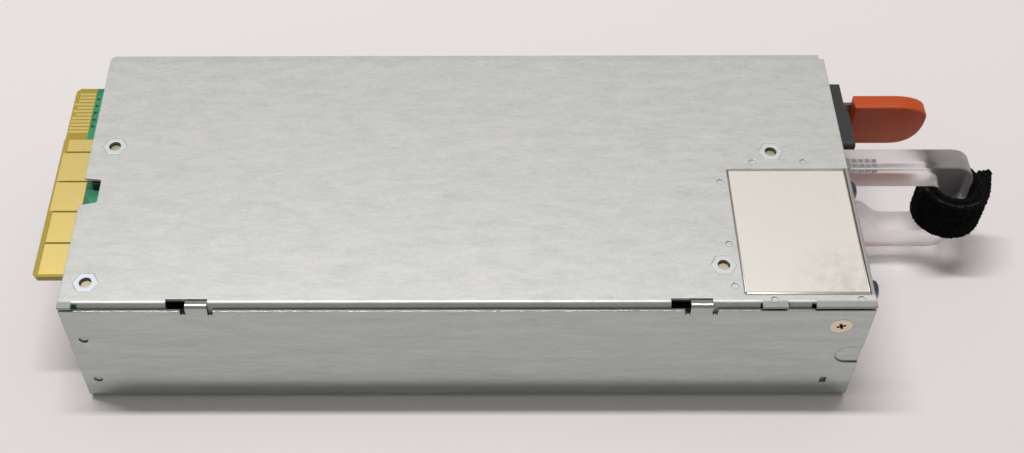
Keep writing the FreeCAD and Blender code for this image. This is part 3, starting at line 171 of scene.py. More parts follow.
def spread(tree, value, low, high, out_low=0.0, out_high=1.0):
    """Maps low..high to out_low..out_high, clamped."""
    return add(tree, "ShaderNodeMapRange", {0: value, 1: low, 2: high, 3: out_low, 4: out_high}).outputs[0]


def noise(tree, where, scale, detail=2.0, rough=0.5, warp=0.0):
    settings = {"Vector": where, "Scale": scale, "Detail": detail, "Roughness": rough, "Distortion": warp}
    return add(tree, "ShaderNodeTexNoise", settings).outputs[0]


def new_group(name, inputs, outputs):
    tree = bpy.data.node_groups.new(name, "ShaderNodeTree")
    kinds = {"c": "NodeSocketColor", "f": "NodeSocketFloat", "v": "NodeSocketVector"}
    for label, kind, value in inputs:
        tree.interface.new_socket(label, in_out="INPUT", socket_type=kinds[kind]).default_value = value
    for label, kind in outputs:
        tree.interface.new_socket(label, in_out="OUTPUT", socket_type=kinds[kind])
    return tree, add(tree, "NodeGroupInput").outputs, add(tree, "NodeGroupOutput").inputs


def rgb(red, green, blue):
    """A colour as it looks on a screen, made linear."""
    linear = [((c / 255 + 0.055) / 1.055) ** 2.4 if c > 10 else c / 3294 for c in (red, green, blue)]
    return (*linear, 1.0)


def build_zinc():
    """Galvanised sheet: long soft blotches, short flecks and a fine rolled grain."""
    tree, given, out = new_group(
        "zinc_bloom",
        [("Low", "c", rgb(180, 180, 178)), ("High", "c", rgb(215, 215, 212)), ("Stretch", "v", (0.3, 1, 1)),
         ("Bloom", "f", 1.0), ("Grain", "f", 0.3), ("Rough", "f", 0.45)],
        [("Color", "c"), ("Roughness", "f"), ("Height", "f")])
    here = object_place(tree)
    laid = add(tree, "ShaderNodeVectorMath", {0: here, 1: given["Stretch"]}, operation="MULTIPLY").outputs[0]
    broad = noise(tree, laid, 330, 4, 0.6, 0.4)
    fleck = noise(tree, laid, 1100, 3, 0.6)
    grain = noise(tree, laid, 4200, 2, 0.6)
    mottle = math_of(tree, "ADD", times(tree, broad, 0.6), times(tree, fleck, 0.4))
    swing = times(tree, math_of(tree, "SUBTRACT", mottle, 0.5), given["Bloom"])
    fine = times(tree, math_of(tree, "SUBTRACT", grain, 0.5), given["Grain"])
    tone = math_of(tree, "ADD", math_of(tree, "ADD", swing, fine), 0.5, clamp=True)
    tree.links.new(mix(tree, tone, given["Low"], given["High"]), out["Color"])
    rough = math_of(tree, "ADD", given["Rough"], times(tree, swing, -0.12))
    tree.links.new(rough, out["Roughness"])
    tree.links.new(tone, out["Height"])
    return tree


def build_edge_wear_and_highlight():
    """Rubbed edges and a painted highlight on them: a mask that is 1 where the surface turns within Width."""
    tree, given, out = new_group("edge_wear_and_highlight", [("Width", "f", 0.0004), ("Break", "f", 600.0)],
                                 [("Mask", "f"), ("Normal", "v")])
    soft = add(tree, "ShaderNodeBevel", {"Radius": given["Width"]}, samples=4).outputs[0]
    flat = add(tree, "ShaderNodeNewGeometry").outputs["Normal"]
    facing = add(tree, "ShaderNodeVectorMath", {0: soft, 1: flat}, operation="DOT_PRODUCT").outputs["Value"]
    turned = spread(tree, facing, 0.985, 0.8)
    here = object_place(tree)
    broken = spread(tree, noise(tree, here, given["Break"], 2), 0.35, 0.6, 0.35, 1.0)
    tree.links.new(times(tree, turned, broken), out["Mask"])
    tree.links.new(soft, out["Normal"])
    return tree


def build_specks():
    """Small specks and short scratches, as a mask."""
    tree, given, out = new_group("specks", [("Scale", "f", 260.0), ("Amount", "f", 0.5)], [("Mask", "f")])
    here = object_place(tree)
    bent = add(tree, "ShaderNodeMapping", {"Vector": here, "Scale": (0.35, 1, 1), "Rotation": (0, 0, 0.12)})
    cells = add(tree, "ShaderNodeTexVoronoi", {"Vector": bent.outputs[0], "Scale": given["Scale"]})
    dots = spread(tree, cells.outputs["Distance"], 0.1, 0.03)
    patch = spread(tree, noise(tree, here, 70, 3), 0.5, 0.62)
    chosen = spread(tree, noise(tree, here, given["Scale"], 1), 0.45, 0.55)
    tree.links.new(times(tree, dots, patch, chosen, given["Amount"]), out["Mask"])
    return tree


def build_mould():
    """Moulded or sprayed surface: slow shade changes and a fine spark texture."""
    tree, given, out = new_group(
        "mould_grain",
        [("Color", "c", (0.5, 0.5, 0.5, 1)), ("Shade", "f", 0.15), ("Scale", "f", 4000.0),
         ("Rough", "f", 0.5)],
        [("Color", "c"), ("Roughness", "f"), ("Height", "f")])
    here = object_place(tree)
    slow = noise(tree, here, 180, 3)
    fine = noise(tree, here, given["Scale"], 2, 0.7)
    shade = times(tree, math_of(tree, "SUBTRACT", slow, 0.5), given["Shade"])
    value = math_of(tree, "ADD", 1.0, shade)
    tint = add(tree, "ShaderNodeCombineColor", {0: value, 1: value, 2: value}).outputs[0]
    tree.links.new(mix(tree, 1.0, given["Color"], tint, "MULTIPLY"), out["Color"])
    rough = math_of(tree, "ADD", given["Rough"], times(tree, fine, 0.12))
    tree.links.new(rough, out["Roughness"])
    tree.links.new(fine, out["Height"])
    return tree


def build_windings():
    """Turns of enamelled wire: a height and a shade that repeat across Axis."""
    tree, given, out = new_group("wire_turns", [("Axis", "v", (0, 0, 1)), ("Pitch", "f", 0.0011)],
                                 [("Shade", "f"), ("Height", "f")])
    here = object_place(tree)
    along = add(tree, "ShaderNodeVectorMath", {0: here, 1: given["Axis"]}, operation="DOT_PRODUCT")
    turns = math_of(tree, "DIVIDE", along.outputs["Value"], given["Pitch"])
    wave = math_of(tree, "ABSOLUTE", math_of(tree, "SINE", times(tree, turns, math.pi)))
    tree.links.new(spread(tree, wave, 0.0, 0.7, 0.35, 1.0), out["Shade"])
    tree.links.new(wave, out["Height"])
    return tree


def build_weave():
    """Brushed loop cloth: a coarse rib one way and tangled pile over it."""
    tree, given, out = new_group("loop_pile", [("Scale", "f", 900.0)], [("Shade", "f"), ("Height", "f")])
    here = object_place(tree)
    pile = noise(tree, here, given["Scale"], 4, 0.75, 1.0)
    rows = parts_of(tree, here)[2]
    rib = math_of(tree, "SINE", times(tree, rows, 5200))
    height = math_of(tree, "ADD", pile, times(tree, rib, 0.02))
    tree.links.new(spread(tree, height, 0.3, 0.75), out["Shade"])
    tree.links.new(height, out["Height"])
    return tree


ZINC, EDGES, SPECKS = build_zinc(), build_edge_wear_and_highlight(), build_specks()
MOULD, TURNS, PILE = build_mould(), build_windings(), build_weave()


def use(tree, group, **inputs):
    """A shared group with its inputs set, where an underscore stands for a space."""
    named = {key.replace("_", " "): value for key, value in inputs.items()}
    return add(tree, "ShaderNodeGroup", named, node_tree=group).outputs


def finish_named(name, **sockets):
    """A new material with constants set on its shader."""
    material = bpy.data.materials.new(name)
    material.use_nodes = True
    tree = material.node_tree
    shader = tree.nodes["Principled BSDF"]
    for key, value in sockets.items():
        shader.inputs[key.replace("_", " ")].default_value = value
    return material, tree, shader


def feed(tree, shader, **sockets):
    """Links values into the shader's sockets, where an underscore stands for a space."""
    for key, value in sockets.items():
        tree.links.new(value, shader.inputs[key.replace("_", " ")])


def bump(tree, height, strength, distance=0.0002, normal=None):
    inputs = {"Height": height, "Strength": strength, "Distance": distance}
    if normal is not None:
        inputs["Normal"] = normal
    return add(tree, "ShaderNodeBump", inputs).outputs[0]


def zinc_finish(name, low, high, stretch, bloom=1.0, grain=0.3, rough=0.45, metal=0.85, edge=0.00035,
                shade=None):
    """Zinc sheet with rubbed edges that carry a painted highlight; shade, if given, changes its colour by
    place.
    """
    material, tree, shader = finish_named(name, Metallic=metal)
    sheet = use(tree, ZINC, Low=low, High=high, Stretch=stretch, Bloom=bloom, Grain=grain, Rough=rough)
    worn_and_lit = use(tree, EDGES, Width=edge)
    tone = sheet["Color"]
    if shade:
        tone = shade(tree, tone)
    # painted highlight: where the edge mask is 1 the colour moves towards pale grey, partly rubbed zinc and
    # partly light caught on the turned edges
    tone = mix(tree, times(tree, worn_and_lit["Mask"], 0.3), tone, rgb(236, 236, 232))
    feed(tree, shader, Base_Color=tone, Roughness=sheet["Roughness"],
         Normal=bump(tree, sheet["Height"], 0.08, normal=worn_and_lit["Normal"]))
    return material


def plastic_finish(name, color, rough=0.5, shade=0.15, scale=4000.0, relief=0.06, **sockets):
    material, tree, shader = finish_named(name, **sockets)
    skin = use(tree, MOULD, Color=color, Shade=shade, Scale=scale, Rough=rough)
    feed(tree, shader, Base_Color=skin["Color"], Roughness=skin["Roughness"],
         Normal=bump(tree, skin["Height"], relief))
    return material


def metal_finish(name, color, rough=0.35, shade=0.12, scale=2500.0, relief=0.05):
    return plastic_finish(name, color, rough, shade, scale, relief, Metallic=1.0)


def wire_finish(name, color, dark, axis, pitch):
    material, tree, shader = finish_named(name, Metallic=0.75)
    turns = use(tree, TURNS, Axis=axis, Pitch=pitch)
    skin = use(tree, MOULD, Color=color, Shade=0.2, Scale=1500.0, Rough=0.28)
    feed(tree, shader, Base_Color=mix(tree, turns["Shade"], dark, skin["Color"]),
         Roughness=skin["Roughness"], Normal=bump(tree, turns["Height"], 0.6, 0.0003))
    return material


def board_finish():
    """Green solder mask over the board, with bare laminate at the card edge and on the cut sides, and painted
    shade on the laminate between the pads.
    """
    material, tree, shader = finish_named("board_mask", Coat_Weight=0.25)
    here = object_place(tree)
    x, y, _ = parts_of(tree, here)
    upright = parts_of(tree, add(tree, "ShaderNodeNewGeometry").outputs["Normal"])[2]
    flat = math_of(tree, "GREATER_THAN", math_of(tree, "ABSOLUTE", upright), 0.9)
    signal = math_of(tree, "GREATER_THAN", y, SIGNAL_EDGE * MM)
    start = math_of(tree, "ADD", times(tree, signal, (MASK_LINE - PAD_LINE) * MM), PAD_LINE * MM)
    masked = times(tree, flat, math_of(tree, "GREATER_THAN", x, start))
    traces = spread(tree, noise(tree, here, 260, 1), 0.46, 0.54)
    green = mix(tree, traces, rgb(32, 118, 84), rgb(46, 140, 100))
    row = gap_to(tree, x, (MASK_LINE + VIA_SETBACK) * MM)
    step = math_of(tree, "MODULO", math_of(tree, "ADD", y, VIA_START * MM), VIA_PITCH * MM)
    far = length_of(tree, row, gap_to(tree, step, VIA_PITCH * MM / 2))
    via = times(tree, spread(tree, far, (VIA_RADIUS + 0.16) * MM, VIA_RADIUS * MM),
                spread(tree, gap_to(tree, y, VIA_MIDDLE * MM), (VIA_REACH + 0.2) * MM, VIA_REACH * MM))
    green = mix(tree, via, green, rgb(12, 46, 34))
    fibre = noise(tree, here, 1800, 3, 0.7)
    bare = mix(tree, fibre, rgb(152, 130, 36), rgb(184, 162, 58))
    # painted shade: the bare laminate between the pads is darkened towards brown, less beside the signal
    # fingers, for the shade in the narrow gaps
    behind = spread(tree, x, (CARD_END + PAD_SHADE_START) * MM, (CARD_END + PAD_SHADE_START + 0.15) * MM)
    beside = math_of(tree, "GREATER_THAN", y, PAD_SHADE_NEAR * MM)
    depth = math_of(tree, "SUBTRACT", 0.85, times(tree, signal, 0.7))
    bare = mix(tree, times(tree, flat, behind, beside, depth), bare, rgb(112, 88, 28))
    feed(tree, shader, Base_Color=mix(tree, masked, bare, green),
         Roughness=spread(tree, fibre, 0.2, 0.8, 0.3, 0.5), Normal=bump(tree, traces, 0.1, 0.00004))
    return material


def strap_finish(name, low, high):
    """Brushed loop cloth, almost without gloss."""
    material, tree, shader = finish_named(name, Sheen_Weight=0.03, Sheen_Roughness=0.6,
                                          Specular_IOR_Level=0.05)
    cloth = use(tree, PILE, Scale=900.0)
    feed(tree, shader, Base_Color=mix(tree, cloth["Shade"], low, high),
         Roughness=spread(tree, cloth["Shade"], 0, 1, 0.98, 0.85),
         Normal=bump(tree, cloth["Height"], 0.9, 0.0004))
    return material


def clear_finish(name):
    """Clear moulded polycarbonate with a light frost and slow flow lines, which lets half the light through
    its shadow."""
    material, tree, shader = finish_named(name, Transmission_Weight=0.95, IOR=1.2, Metallic=0.0)
    here = object_place(tree)
    flow = add(tree, "ShaderNodeMapping", {"Vector": here, "Scale": (0.4, 1, 1)}).outputs[0]
    waves = noise(tree, flow, 240, 2)
    shadow = add(tree, "ShaderNodeLightPath").outputs["Is Shadow Ray"]
    feed(tree, shader, Base_Color=mix(tree, waves, rgb(244, 239, 241), rgb(252, 249, 250)),
         Roughness=spread(tree, waves, 0.3, 0.7, 0.3, 0.38), Normal=bump(tree, waves, 0.03, 0.0004),
         Alpha=math_of(tree, "SUBTRACT", 1.0, times(tree, shadow, 0.5)))
    return material


def painted_key_groove_shade(tree, tone):
    """Painted shade for the pressed outline of the cover's key: a thin dark line, standing in for the shade
    in its narrow pressing, at one distance from a line to the front end.
    """
    x, y, z = parts_of(tree, object_place(tree))
    back = math_of(tree, "MINIMUM", math_of(tree, "SUBTRACT", x, KEY_X * MM), 0.0)
    away = length_of(tree, back, math_of(tree, "SUBTRACT", z, KEY_Z * MM))
    near = math_of(tree, "LESS_THAN", y, -0.04)
    groove_shade = times(tree, spread(tree, gap_to(tree, away, KEY_RADIUS * MM), 0.0002, 0.00008), near, 0.75)
    # painted shade: on the near wall the thin line is mixed towards dark grey
    return mix(tree, groove_shade, tone, rgb(62, 60, 56))


def plate_marks(tree, tone):
    """Handling marks on the fan bay's plate: more of them at the front end, and a darker, browner cloud round
    the near front corner.
    """
    here = object_place(tree)
    x, y, _ = parts_of(tree, here)
    front = spread(tree, x, 0.07, 0.097, 0.15, 1.0)
    marks = use(tree, SPECKS, Scale=520.0, Amount=front)["Mask"]
    fine = use(tree, SPECKS, Scale=1150.0, Amount=front)["Mask"]
    away = length_of(tree, math_of(tree, "SUBTRACT", x, 0.093), math_of(tree, "ADD", y, 0.037))
    cloud = times(tree, spread(tree, away, 0.016, 0.002), spread(tree, noise(tree, here, 420, 3), 0.3, 0.7))
    tone = mix(tree, times(tree, cloud, 0.4), tone, rgb(176, 160, 136))
    tone = mix(tree, times(tree, fine, 0.6), tone, rgb(150, 138, 118))
    return mix(tree, marks, tone, rgb(92, 84, 72))


def painted_bend_shade(tree, tone):
    """Painted shade on the tray's near bend: its colour darkens towards grey across the bend, so the bend
    looks duller than its flat.
    """
    across = parts_of(tree, object_place(tree))[1]
    # painted shade: across the near bend the colour is mixed towards dark grey
    return mix(tree, spread(tree, across, -0.0408, -0.0416, 0.0, 0.6), tone, rgb(112, 114, 112))


TOP_STRETCH, WALL_STRETCH = (0.35, 1.0, 1.0), (0.14, 1.0, 1.0)
FINISHES = {
    "sheet": zinc_finish("sheet_zinc", rgb(180, 182, 181), rgb(232, 231, 227), TOP_STRETCH, 1.5, 0.8, 0.42,
                         metal=0.5, shade=painted_bend_shade),
    "rim": zinc_finish("rim_zinc", rgb(176, 178, 177), rgb(226, 225, 221), TOP_STRETCH, 1.5, 0.8, 0.42,
                       metal=0.5, edge=0.00001),
    "wall": zinc_finish("wall_zinc", rgb(164, 169, 166), rgb(195, 201, 197), WALL_STRETCH, 1.3, 0.8, 0.24,
                        metal=0.95, shade=painted_key_groove_shade),
    "panel": zinc_finish("panel_zinc", rgb(184, 182, 180), rgb(200, 199, 196), (1, 1, 0.3), 1.2, 0.5, 0.36),
    "plate": zinc_finish("plate_tin", rgb(236, 231, 224), rgb(247, 243, 236), (0.8, 1, 1), 0.8, 0.3, 0.36,
                         metal=0.5, shade=plate_marks),
    "lip": metal_finish("plate_lip", rgb(238, 233, 226), 0.3, 0.05),
    "nickel": metal_finish("nickel", rgb(222, 226, 232), 0.2),
    "standoff": plastic_finish("standoff_zinc", rgb(216, 224, 232), 0.4, 0.06, 2500.0, 0.02, Metallic=0.35),
    "dull_standoff": plastic_finish("standoff_dull", rgb(206, 210, 208), 0.45, 0.06, 2500.0, 0.02,
                                    Metallic=0.35),
    "yellow_zinc": metal_finish("yellow_zinc", rgb(226, 214, 190), 0.32),
    "recess": metal_finish("screw_recess", rgb(112, 84, 58), 0.5),
    # painted shade: the bores and their threads are darker grey than the standoffs' hexagons, for the shade
    # inside the bores
    "bore": metal_finish("thread_bore_painted_shade", rgb(120, 122, 120), 0.4),
    "spring": metal_finish("spring_steel", rgb(128, 126, 122), 0.35),
    "steel": metal_finish("screw_steel", rgb(112, 120, 136), 0.16),
    "lens": metal_finish("light_facets", rgb(206, 206, 206), 0.22),
    "gold": metal_finish("contact_gold", rgb(242, 219, 138), 0.36, 0.06),
    "copper": metal_finish("busbar_copper", rgb(206, 128, 90), 0.35),
    "aluminium": metal_finish("heatsink_aluminium", rgb(196, 198, 202), 0.4, 0.1, 1200.0),
    "brass": metal_finish("brass", rgb(206, 172, 96), 0.3),
    "bronze": metal_finish("sintered_bronze", rgb(150, 112, 70), 0.5, 0.2, 6000.0, 0.2),
    "magnet": metal_finish("magnet_ferrite", rgb(70, 68, 68), 0.6, 0.2, 5000.0, 0.2),
    "ferrite": plastic_finish("ferrite", rgb(52, 50, 50), 0.62, 0.2, 5000.0, 0.2),
    "inlet": plastic_finish("inlet_nylon", rgb(44, 43, 44), 0.55, 0.15, 5200.0, 0.12),
    "black": plastic_finish("black_plastic", rgb(28, 28, 30), 0.42),
    "epoxy": plastic_finish("epoxy", rgb(24, 24, 26), 0.55, 0.25, 3000.0, 0.15),
    "fan": plastic_finish("fan_plastic", rgb(34, 34, 37), 0.38, 0.12, 3500.0, 0.08),
    "tab": plastic_finish("tab_plastic", rgb(184, 70, 16), 0.42, 0.06, 3000.0, 0.05),
    "yellow": plastic_finish("yellow_case", rgb(226, 190, 60), 0.45, 0.1),
    "blue": plastic_finish("blue_disc", rgb(52, 104, 176), 0.45, 0.12),
    "tape": plastic_finish("yellow_tape", rgb(232, 204, 84), 0.35, 0.12, 900.0, 0.1),
    "sleeve": plastic_finish("capacitor_sleeve", rgb(38, 44, 66), 0.3, 0.12, 1500.0, 0.05),
    "green": plastic_finish("board_green", rgb(36, 120, 84), 0.4, 0.25, 900.0, 0.1),
    "glass": plastic_finish("fuse_ceramic", rgb(222, 214, 200), 0.3, 0.08),
    "lamp": plastic_finish("light_lens", rgb(206, 226, 198), 0.2, 0.05, 2000.0, 0.03),
    "relay": plastic_finish("relay_case", rgb(40, 92, 150), 0.35, 0.08),
    "thermistor": plastic_finish("thermistor", rgb(70, 82, 60), 0.6, 0.2, 3000.0, 0.15),
    "coil": wire_finish("enamelled_wire", rgb(206, 116, 62), rgb(84, 36, 18), (0, 0, 1), 0.0011),
    "choke_coil": wire_finish("choke_wire", rgb(214, 128, 70), rgb(84, 36, 18), (1, 0, 0), 0.0014),
    "board": board_finish(),
    "strap": strap_finish("strap_cloth", rgb(1, 1, 1), rgb(12, 12, 13)),
    "seam": strap_finish("strap_seam", rgb(48, 48, 48), rgb(84, 84, 82)),
    "clear": clear_finish("clear_plastic"),
}
NODE_FINISH = {
    "tray": "sheet", "cover": "wall", "rear_panel": "panel", "faceplate": "panel", "fan_bay_plate": "plate",
    "board_screws": "yellow_zinc", "boost_choke_core": "ferrite", "boost_choke_winding": "choke_coil",
    "boost_heatsink": "aluminium", "boost_switches": "epoxy", "bridge_rectifier": "epoxy",
    "bridge_switches": "epoxy", "bulk_capacitors": "sleeve", "control_board": "green",
    "control_chips": "epoxy", "fan_bearing_tube": "brass", "fan_circuit": "green", "fan_frame": "fan",
    "fan_magnet_ring": "magnet", "fan_rotor": "fan", "fan_shaft": "nickel", "fan_sleeve_bearing": "bronze",
    "fan_stator": "coil", "filter_choke_cores": "ferrite", "filter_choke_windings": "coil",
    "fuse": "glass", "inlet_blades": "nickel", "inlet_body": "inlet", "inrush_thermistor": "thermistor",
    "insulating_sheet": "black", "latch_arm": "spring", "latch_foot": "spring", "latch_hook": "spring",
    "latch_rivets": "nickel", "main_board": "board", "main_transformer_coil": "tape",
    "main_transformer_core": "ferrite", "output_busbars": "copper", "output_capacitors": "sleeve",
    "output_heatsink": "aluminium", "output_rectifiers": "epoxy", "power_pads": "gold",
    "primary_heatsink": "aluminium", "relay": "relay", "resonant_choke_coil": "coil",
    "resonant_choke_core": "ferrite", "signal_fingers": "gold", "standby_transformer_coil": "tape",
    "standby_transformer_core": "ferrite", "status_light": "lamp", "x_capacitors": "yellow",
    "y_capacitors": "blue", "handle_screws": "nickel",
}
for node_name, finish in NODE_FINISH.items():
    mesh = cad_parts[node_name].data
    mesh.materials.clear()
    mesh.materials.append(FINISHES[finish])


# ---------------------------------------------------------------- piece building

def mesh_piece(name, bm, finishes, body, node=None, smooth=math.radians(35)):
    """Turns a bmesh in millimetres into a finished piece on its body."""
    stretch(bm, (MM, MM, MM))
    mesh = bpy.data.meshes.new(name)
    bm.to_mesh(mesh)
    bm.free()
    mesh.shade_smooth()
    mesh.set_sharp_from_angle(angle=smooth)
    for finish in finishes:
        mesh.materials.append(FINISHES[finish])
    piece = bpy.data.objects.new(name, mesh)
    bpy.context.scene.collection.objects.link(piece)
    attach(piece, body)
    if node:
        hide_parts(node)
    return piece


def points_in(geom):
    return [item for item in geom if isinstance(item, bmesh.types.BMVert)]


def turn(bm, angle, axis, verts=None):
    """Turns points round one of the axes."""
    matrix = Matrix.Rotation(angle, 3, axis)
    bmesh.ops.rotate(bm, cent=(0, 0, 0), matrix=matrix, verts=bm.verts if verts is None else verts)


def shift(bm, vec, verts=None):
    bmesh.ops.translate(bm, vec=vec, verts=bm.verts if verts is None else verts)


def stretch(bm, vec, verts=None):
    bmesh.ops.scale(bm, vec=vec, verts=bm.verts if verts is None else verts)


def soften(bm, edges, radius, segments, clamp=False):
    bmesh.ops.bevel(bm, geom=edges, offset=radius, offset_type="OFFSET", segments=segments, profile=0.5,
                    affect="EDGES", material=-1, clamp_overlap=clamp)


def sweep(bm, geom, middle, angle, steps, step=(0, 0, 0), close=False):
    """Sweeps geom round an upright line, or along step, and returns what stands at the end."""
    return bmesh.ops.spin(bm, geom=geom, cent=(middle, 0, 0), axis=UP, dvec=step, angle=angle, steps=steps,
                          use_merge=close, use_duplicate=False)["geom_last"]


def thicken(bm, vec):
    """Makes a closed slab of the faces, as thick as vec."""
    grown = bmesh.ops.extrude_face_region(bm, geom=bm.faces[:])["geom"]
    shift(bm, vec, points_in(grown))
    bmesh.ops.recalc_face_normals(bm, faces=bm.faces)


def frame_along(axis):
    return UP.rotation_difference(Vector(axis)).to_matrix().to_4x4()


def cut_from(bm, cutter):
    """Takes the closed shape cutter out of bm and returns what is left."""
    objects = []
    for shape in (bm, cutter):
        mesh = bpy.data.meshes.new("cutting")
        shape.to_mesh(mesh)
        shape.free()
        objects.append(bpy.data.objects.new("cutting", mesh))
        bpy.context.scene.collection.objects.link(objects[-1])
    tool = objects[0].modifiers.new("cut", "BOOLEAN")
    tool.operation, tool.solver, tool.object = "DIFFERENCE", "EXACT", objects[1]
    view = bpy.context.evaluated_depsgraph_get()
    left = bmesh.new()
    left.from_mesh(objects[0].evaluated_get(view).to_mesh())
    for item in objects:
        bpy.data.objects.remove(item, do_unlink=True)
    return left


def turned(profile, steps=32):
    """A closed solid turned round Z from (radius, height) points that start and end on the axis."""
    bm = bmesh.new()
    corners = [bm.verts.new((radius, 0, height)) for radius, height in profile]
    edges = [bm.edges.new(pair) for pair in zip(corners, corners[1:])]
    sweep(bm, corners + edges, 0, math.tau, steps, close=True)
    bmesh.ops.remove_doubles(bm, verts=bm.verts, dist=1e-4)
    bmesh.ops.recalc_face_normals(bm, faces=bm.faces)
    return bm


def recess_bars(size, wide, deep, top):
    """The two closed cutters of a cross recess, whose arms narrow to a point."""
    bars = []
    for angle in (0, math.pi / 2):
        bm = bmesh.new()
        bmesh.ops.create_cube(bm, size=1.0)
        stretch(bm, (size * 2, wide, deep * 2))
        stretch(bm, (0.35, 0.8, 1), [v for v in bm.verts if v.co.z < 0])
        shift(bm, (0, 0, top))
        turn(bm, angle, "Z")
        bars.append(bm)
    return bars


def screw_shape(profile, recess, twist):
    """A turned screw with a cross recess cut in its head; the recess has the second material."""
    bm = turned(profile)
    for bar in recess_bars(*recess):
        bm = cut_from(bm, bar)
    size, _, deep, top = recess
    for face in bm.faces:
        spot = face.calc_center_median()
        inside = spot.xy.length < size and top - deep - 0.1 < spot.z < top - 0.05
        face.material_index = 1 if inside else 0
    turn(bm, twist, "Z")
    return bm


def place_into(whole, bm, seat, axis):
    """Adds bm to whole with its origin on seat and its Z along axis."""
    bmesh.ops.transform(bm, matrix=Matrix.Translation(Vector(seat)) @ frame_along(axis), verts=bm.verts)
    mesh = bpy.data.meshes.new("joining")
    bm.to_mesh(mesh)
    bm.free()
    whole.from_mesh(mesh)
    bpy.data.meshes.remove(mesh)


PAN_PROFILE = [(0, HEAD_HEIGHT), (1.2, 2.14), (2.0, 1.9), (2.5, 1.45), (HEAD - 0.04, 0.8), (HEAD, 0.1),
               (HEAD - 0.05, 0)]


def shank_profile(length):
    """Threads as ridges from under the head down to the tip."""
    points, height = [(SHANK - 0.02, 0)], -PITCH
    while height > -length + PITCH:
        points += [(SHANK - 0.02, height), (SHANK - 0.22, height - PITCH / 2)]
        height -= PITCH
    return points + [(SHANK - 0.25, -length), (0, -length)]


def make_pan_screws():
    """The fan's pan head screws, on the outside of the faceplate, each turned its own way."""
    low, high = node_box("fan_screws")
    seat = high.x - HEAD_HEIGHT
    profile = PAN_PROFILE + shank_profile(seat - low.x)
    whole = bmesh.new()
    spots = [(y, z) for y in (low.y + HEAD, high.y - HEAD) for z in (low.z + HEAD, high.z - HEAD)]
    for number, (y, z) in enumerate(spots):
        place_into(whole, screw_shape(profile, PAN_RECESS, 0.5 + number * 1.1), (seat, y, z), (1, 0, 0))
    return mesh_piece("fan_screws_cut", whole, ["steel", "recess"], "case", "fan_screws")


def make_cover_screws():
    """Countersunk screws, flush in the cover's two long walls."""
    low, high = node_box("cover_screws")
    spot_x, spot_z = (low.x + high.x) / 2, (low.z + high.z) / 2
    rim = (high.x - low.x) / 2
    profile = [(0, 0), (rim - 0.15, 0), (rim - 0.02, -0.1), (SHANK, -rim + SHANK),
               (SHANK - 0.02, -COVER_SCREW_LENGTH), (0, -COVER_SCREW_LENGTH)]
    whole = bmesh.new()
    for side, twist in ((low.y, 0.35), (high.y, 1.0)):
        place_into(whole, screw_shape(profile, FLUSH_RECESS, twist), (spot_x, side, spot_z),
                   (0, math.copysign(1, side), 0))
    return mesh_piece("cover_screws_cut", whole, ["yellow_zinc", "recess"], "case", "cover_screws")


def hexagon_ring():
    """The standoff's hexagon in the sheet, with its bore and a blunted rim."""
    bm = bmesh.new()
    for vert in bmesh.ops.create_circle(bm, segments=24, radius=STANDOFF_FLAT / 2)["verts"]:
        along = math.atan2(vert.co.y, vert.co.x) % (math.pi / 3) - math.pi / 6
        vert.co /= math.cos(along)
    bmesh.ops.create_circle(bm, segments=24, radius=STANDOFF_BORE)
    bmesh.ops.bridge_loops(bm, edges=bm.edges[:])
    thicken(bm, (0, 0, -SHEET))
    rims = [e for e in bm.edges if min(v.co.z for v in e.verts) > -0.1 and e.calc_face_angle() > 1]
    soften(bm, rims, STANDOFF_RIM, 2)
    return bm


def threaded_barrel(depth):
    """The standoff's round body, with thread ridges down its bore."""
    root, crest = STANDOFF_BORE - 0.03, STANDOFF_BORE + 0.12
    wall, height = [(STANDOFF_BARREL, 0), (STANDOFF_BARREL, -depth), (root, -depth)], -depth + 0.2
    while height < -0.3:
        wall += [(root, height), (crest, height + PITCH / 2)]
        height += PITCH
    bm = bmesh.new()
    corners = [bm.verts.new((r, 0, z)) for r, z in wall + [(STANDOFF_BORE, 0)]]
    edges = [bm.edges.new((a, b)) for a, b in zip(corners, corners[1:] + corners[:1])]
    sweep(bm, corners + edges, 0, math.tau, 24, close=True)
    bmesh.ops.recalc_face_normals(bm, faces=bm.faces)
    return bm


def make_standoffs():
    """Clinched hexagon standoffs, flush with the tray, with threaded bores in a darker finish that is painted
    shade; one of them is bright.
    """
    low, high = node_box("clinch_standoffs")
    whole = bmesh.new()
    for number, (spot_x, spot_y) in enumerate(STANDOFF_SPOTS):
        ring, barrel = hexagon_ring(), threaded_barrel(high.z - SHEET - low.z)
        for face in ring.faces:
            # the bore's faces take the darker finish, which is painted shade
            inside = face.calc_center_median().xy.length < STANDOFF_BORE + 0.05
            face.material_index = 2 if inside else (0 if number == BRIGHT_STANDOFF else 1)
        for face in barrel.faces:
            face.material_index = 2
        place_into(whole, ring, (spot_x, spot_y, high.z - STANDOFF_SINK), UP)
        place_into(whole, barrel, (spot_x, spot_y, high.z - SHEET), UP)
    return mesh_piece("clinch_standoffs_threaded", whole, ["standoff", "dull_standoff", "bore"], "case",
                      "clinch_standoffs", 0.3)


def plate_from(outline, low_y, high_y):
    """A slab from an outline in the XZ plane, between two Y."""
    bm = bmesh.new()
    bm.faces.new([bm.verts.new((x, low_y, z)) for x, z in outline])
    thicken(bm, (0, high_y - low_y, 0))
    return bm


def soften_corners(bm, spots, radius, segments):
    """Rounds the edges across a slab that stand at the given (x, z) spots."""
    chosen = []
    for edge in bm.edges:
        first, second = (v.co for v in edge.verts)
        for x, z in spots:
            if all(abs(c.x - x) < 0.02 and abs(c.z - z) < 0.02 for c in (first, second)):
                chosen.append(edge)
    soften(bm, chosen, radius, segments)


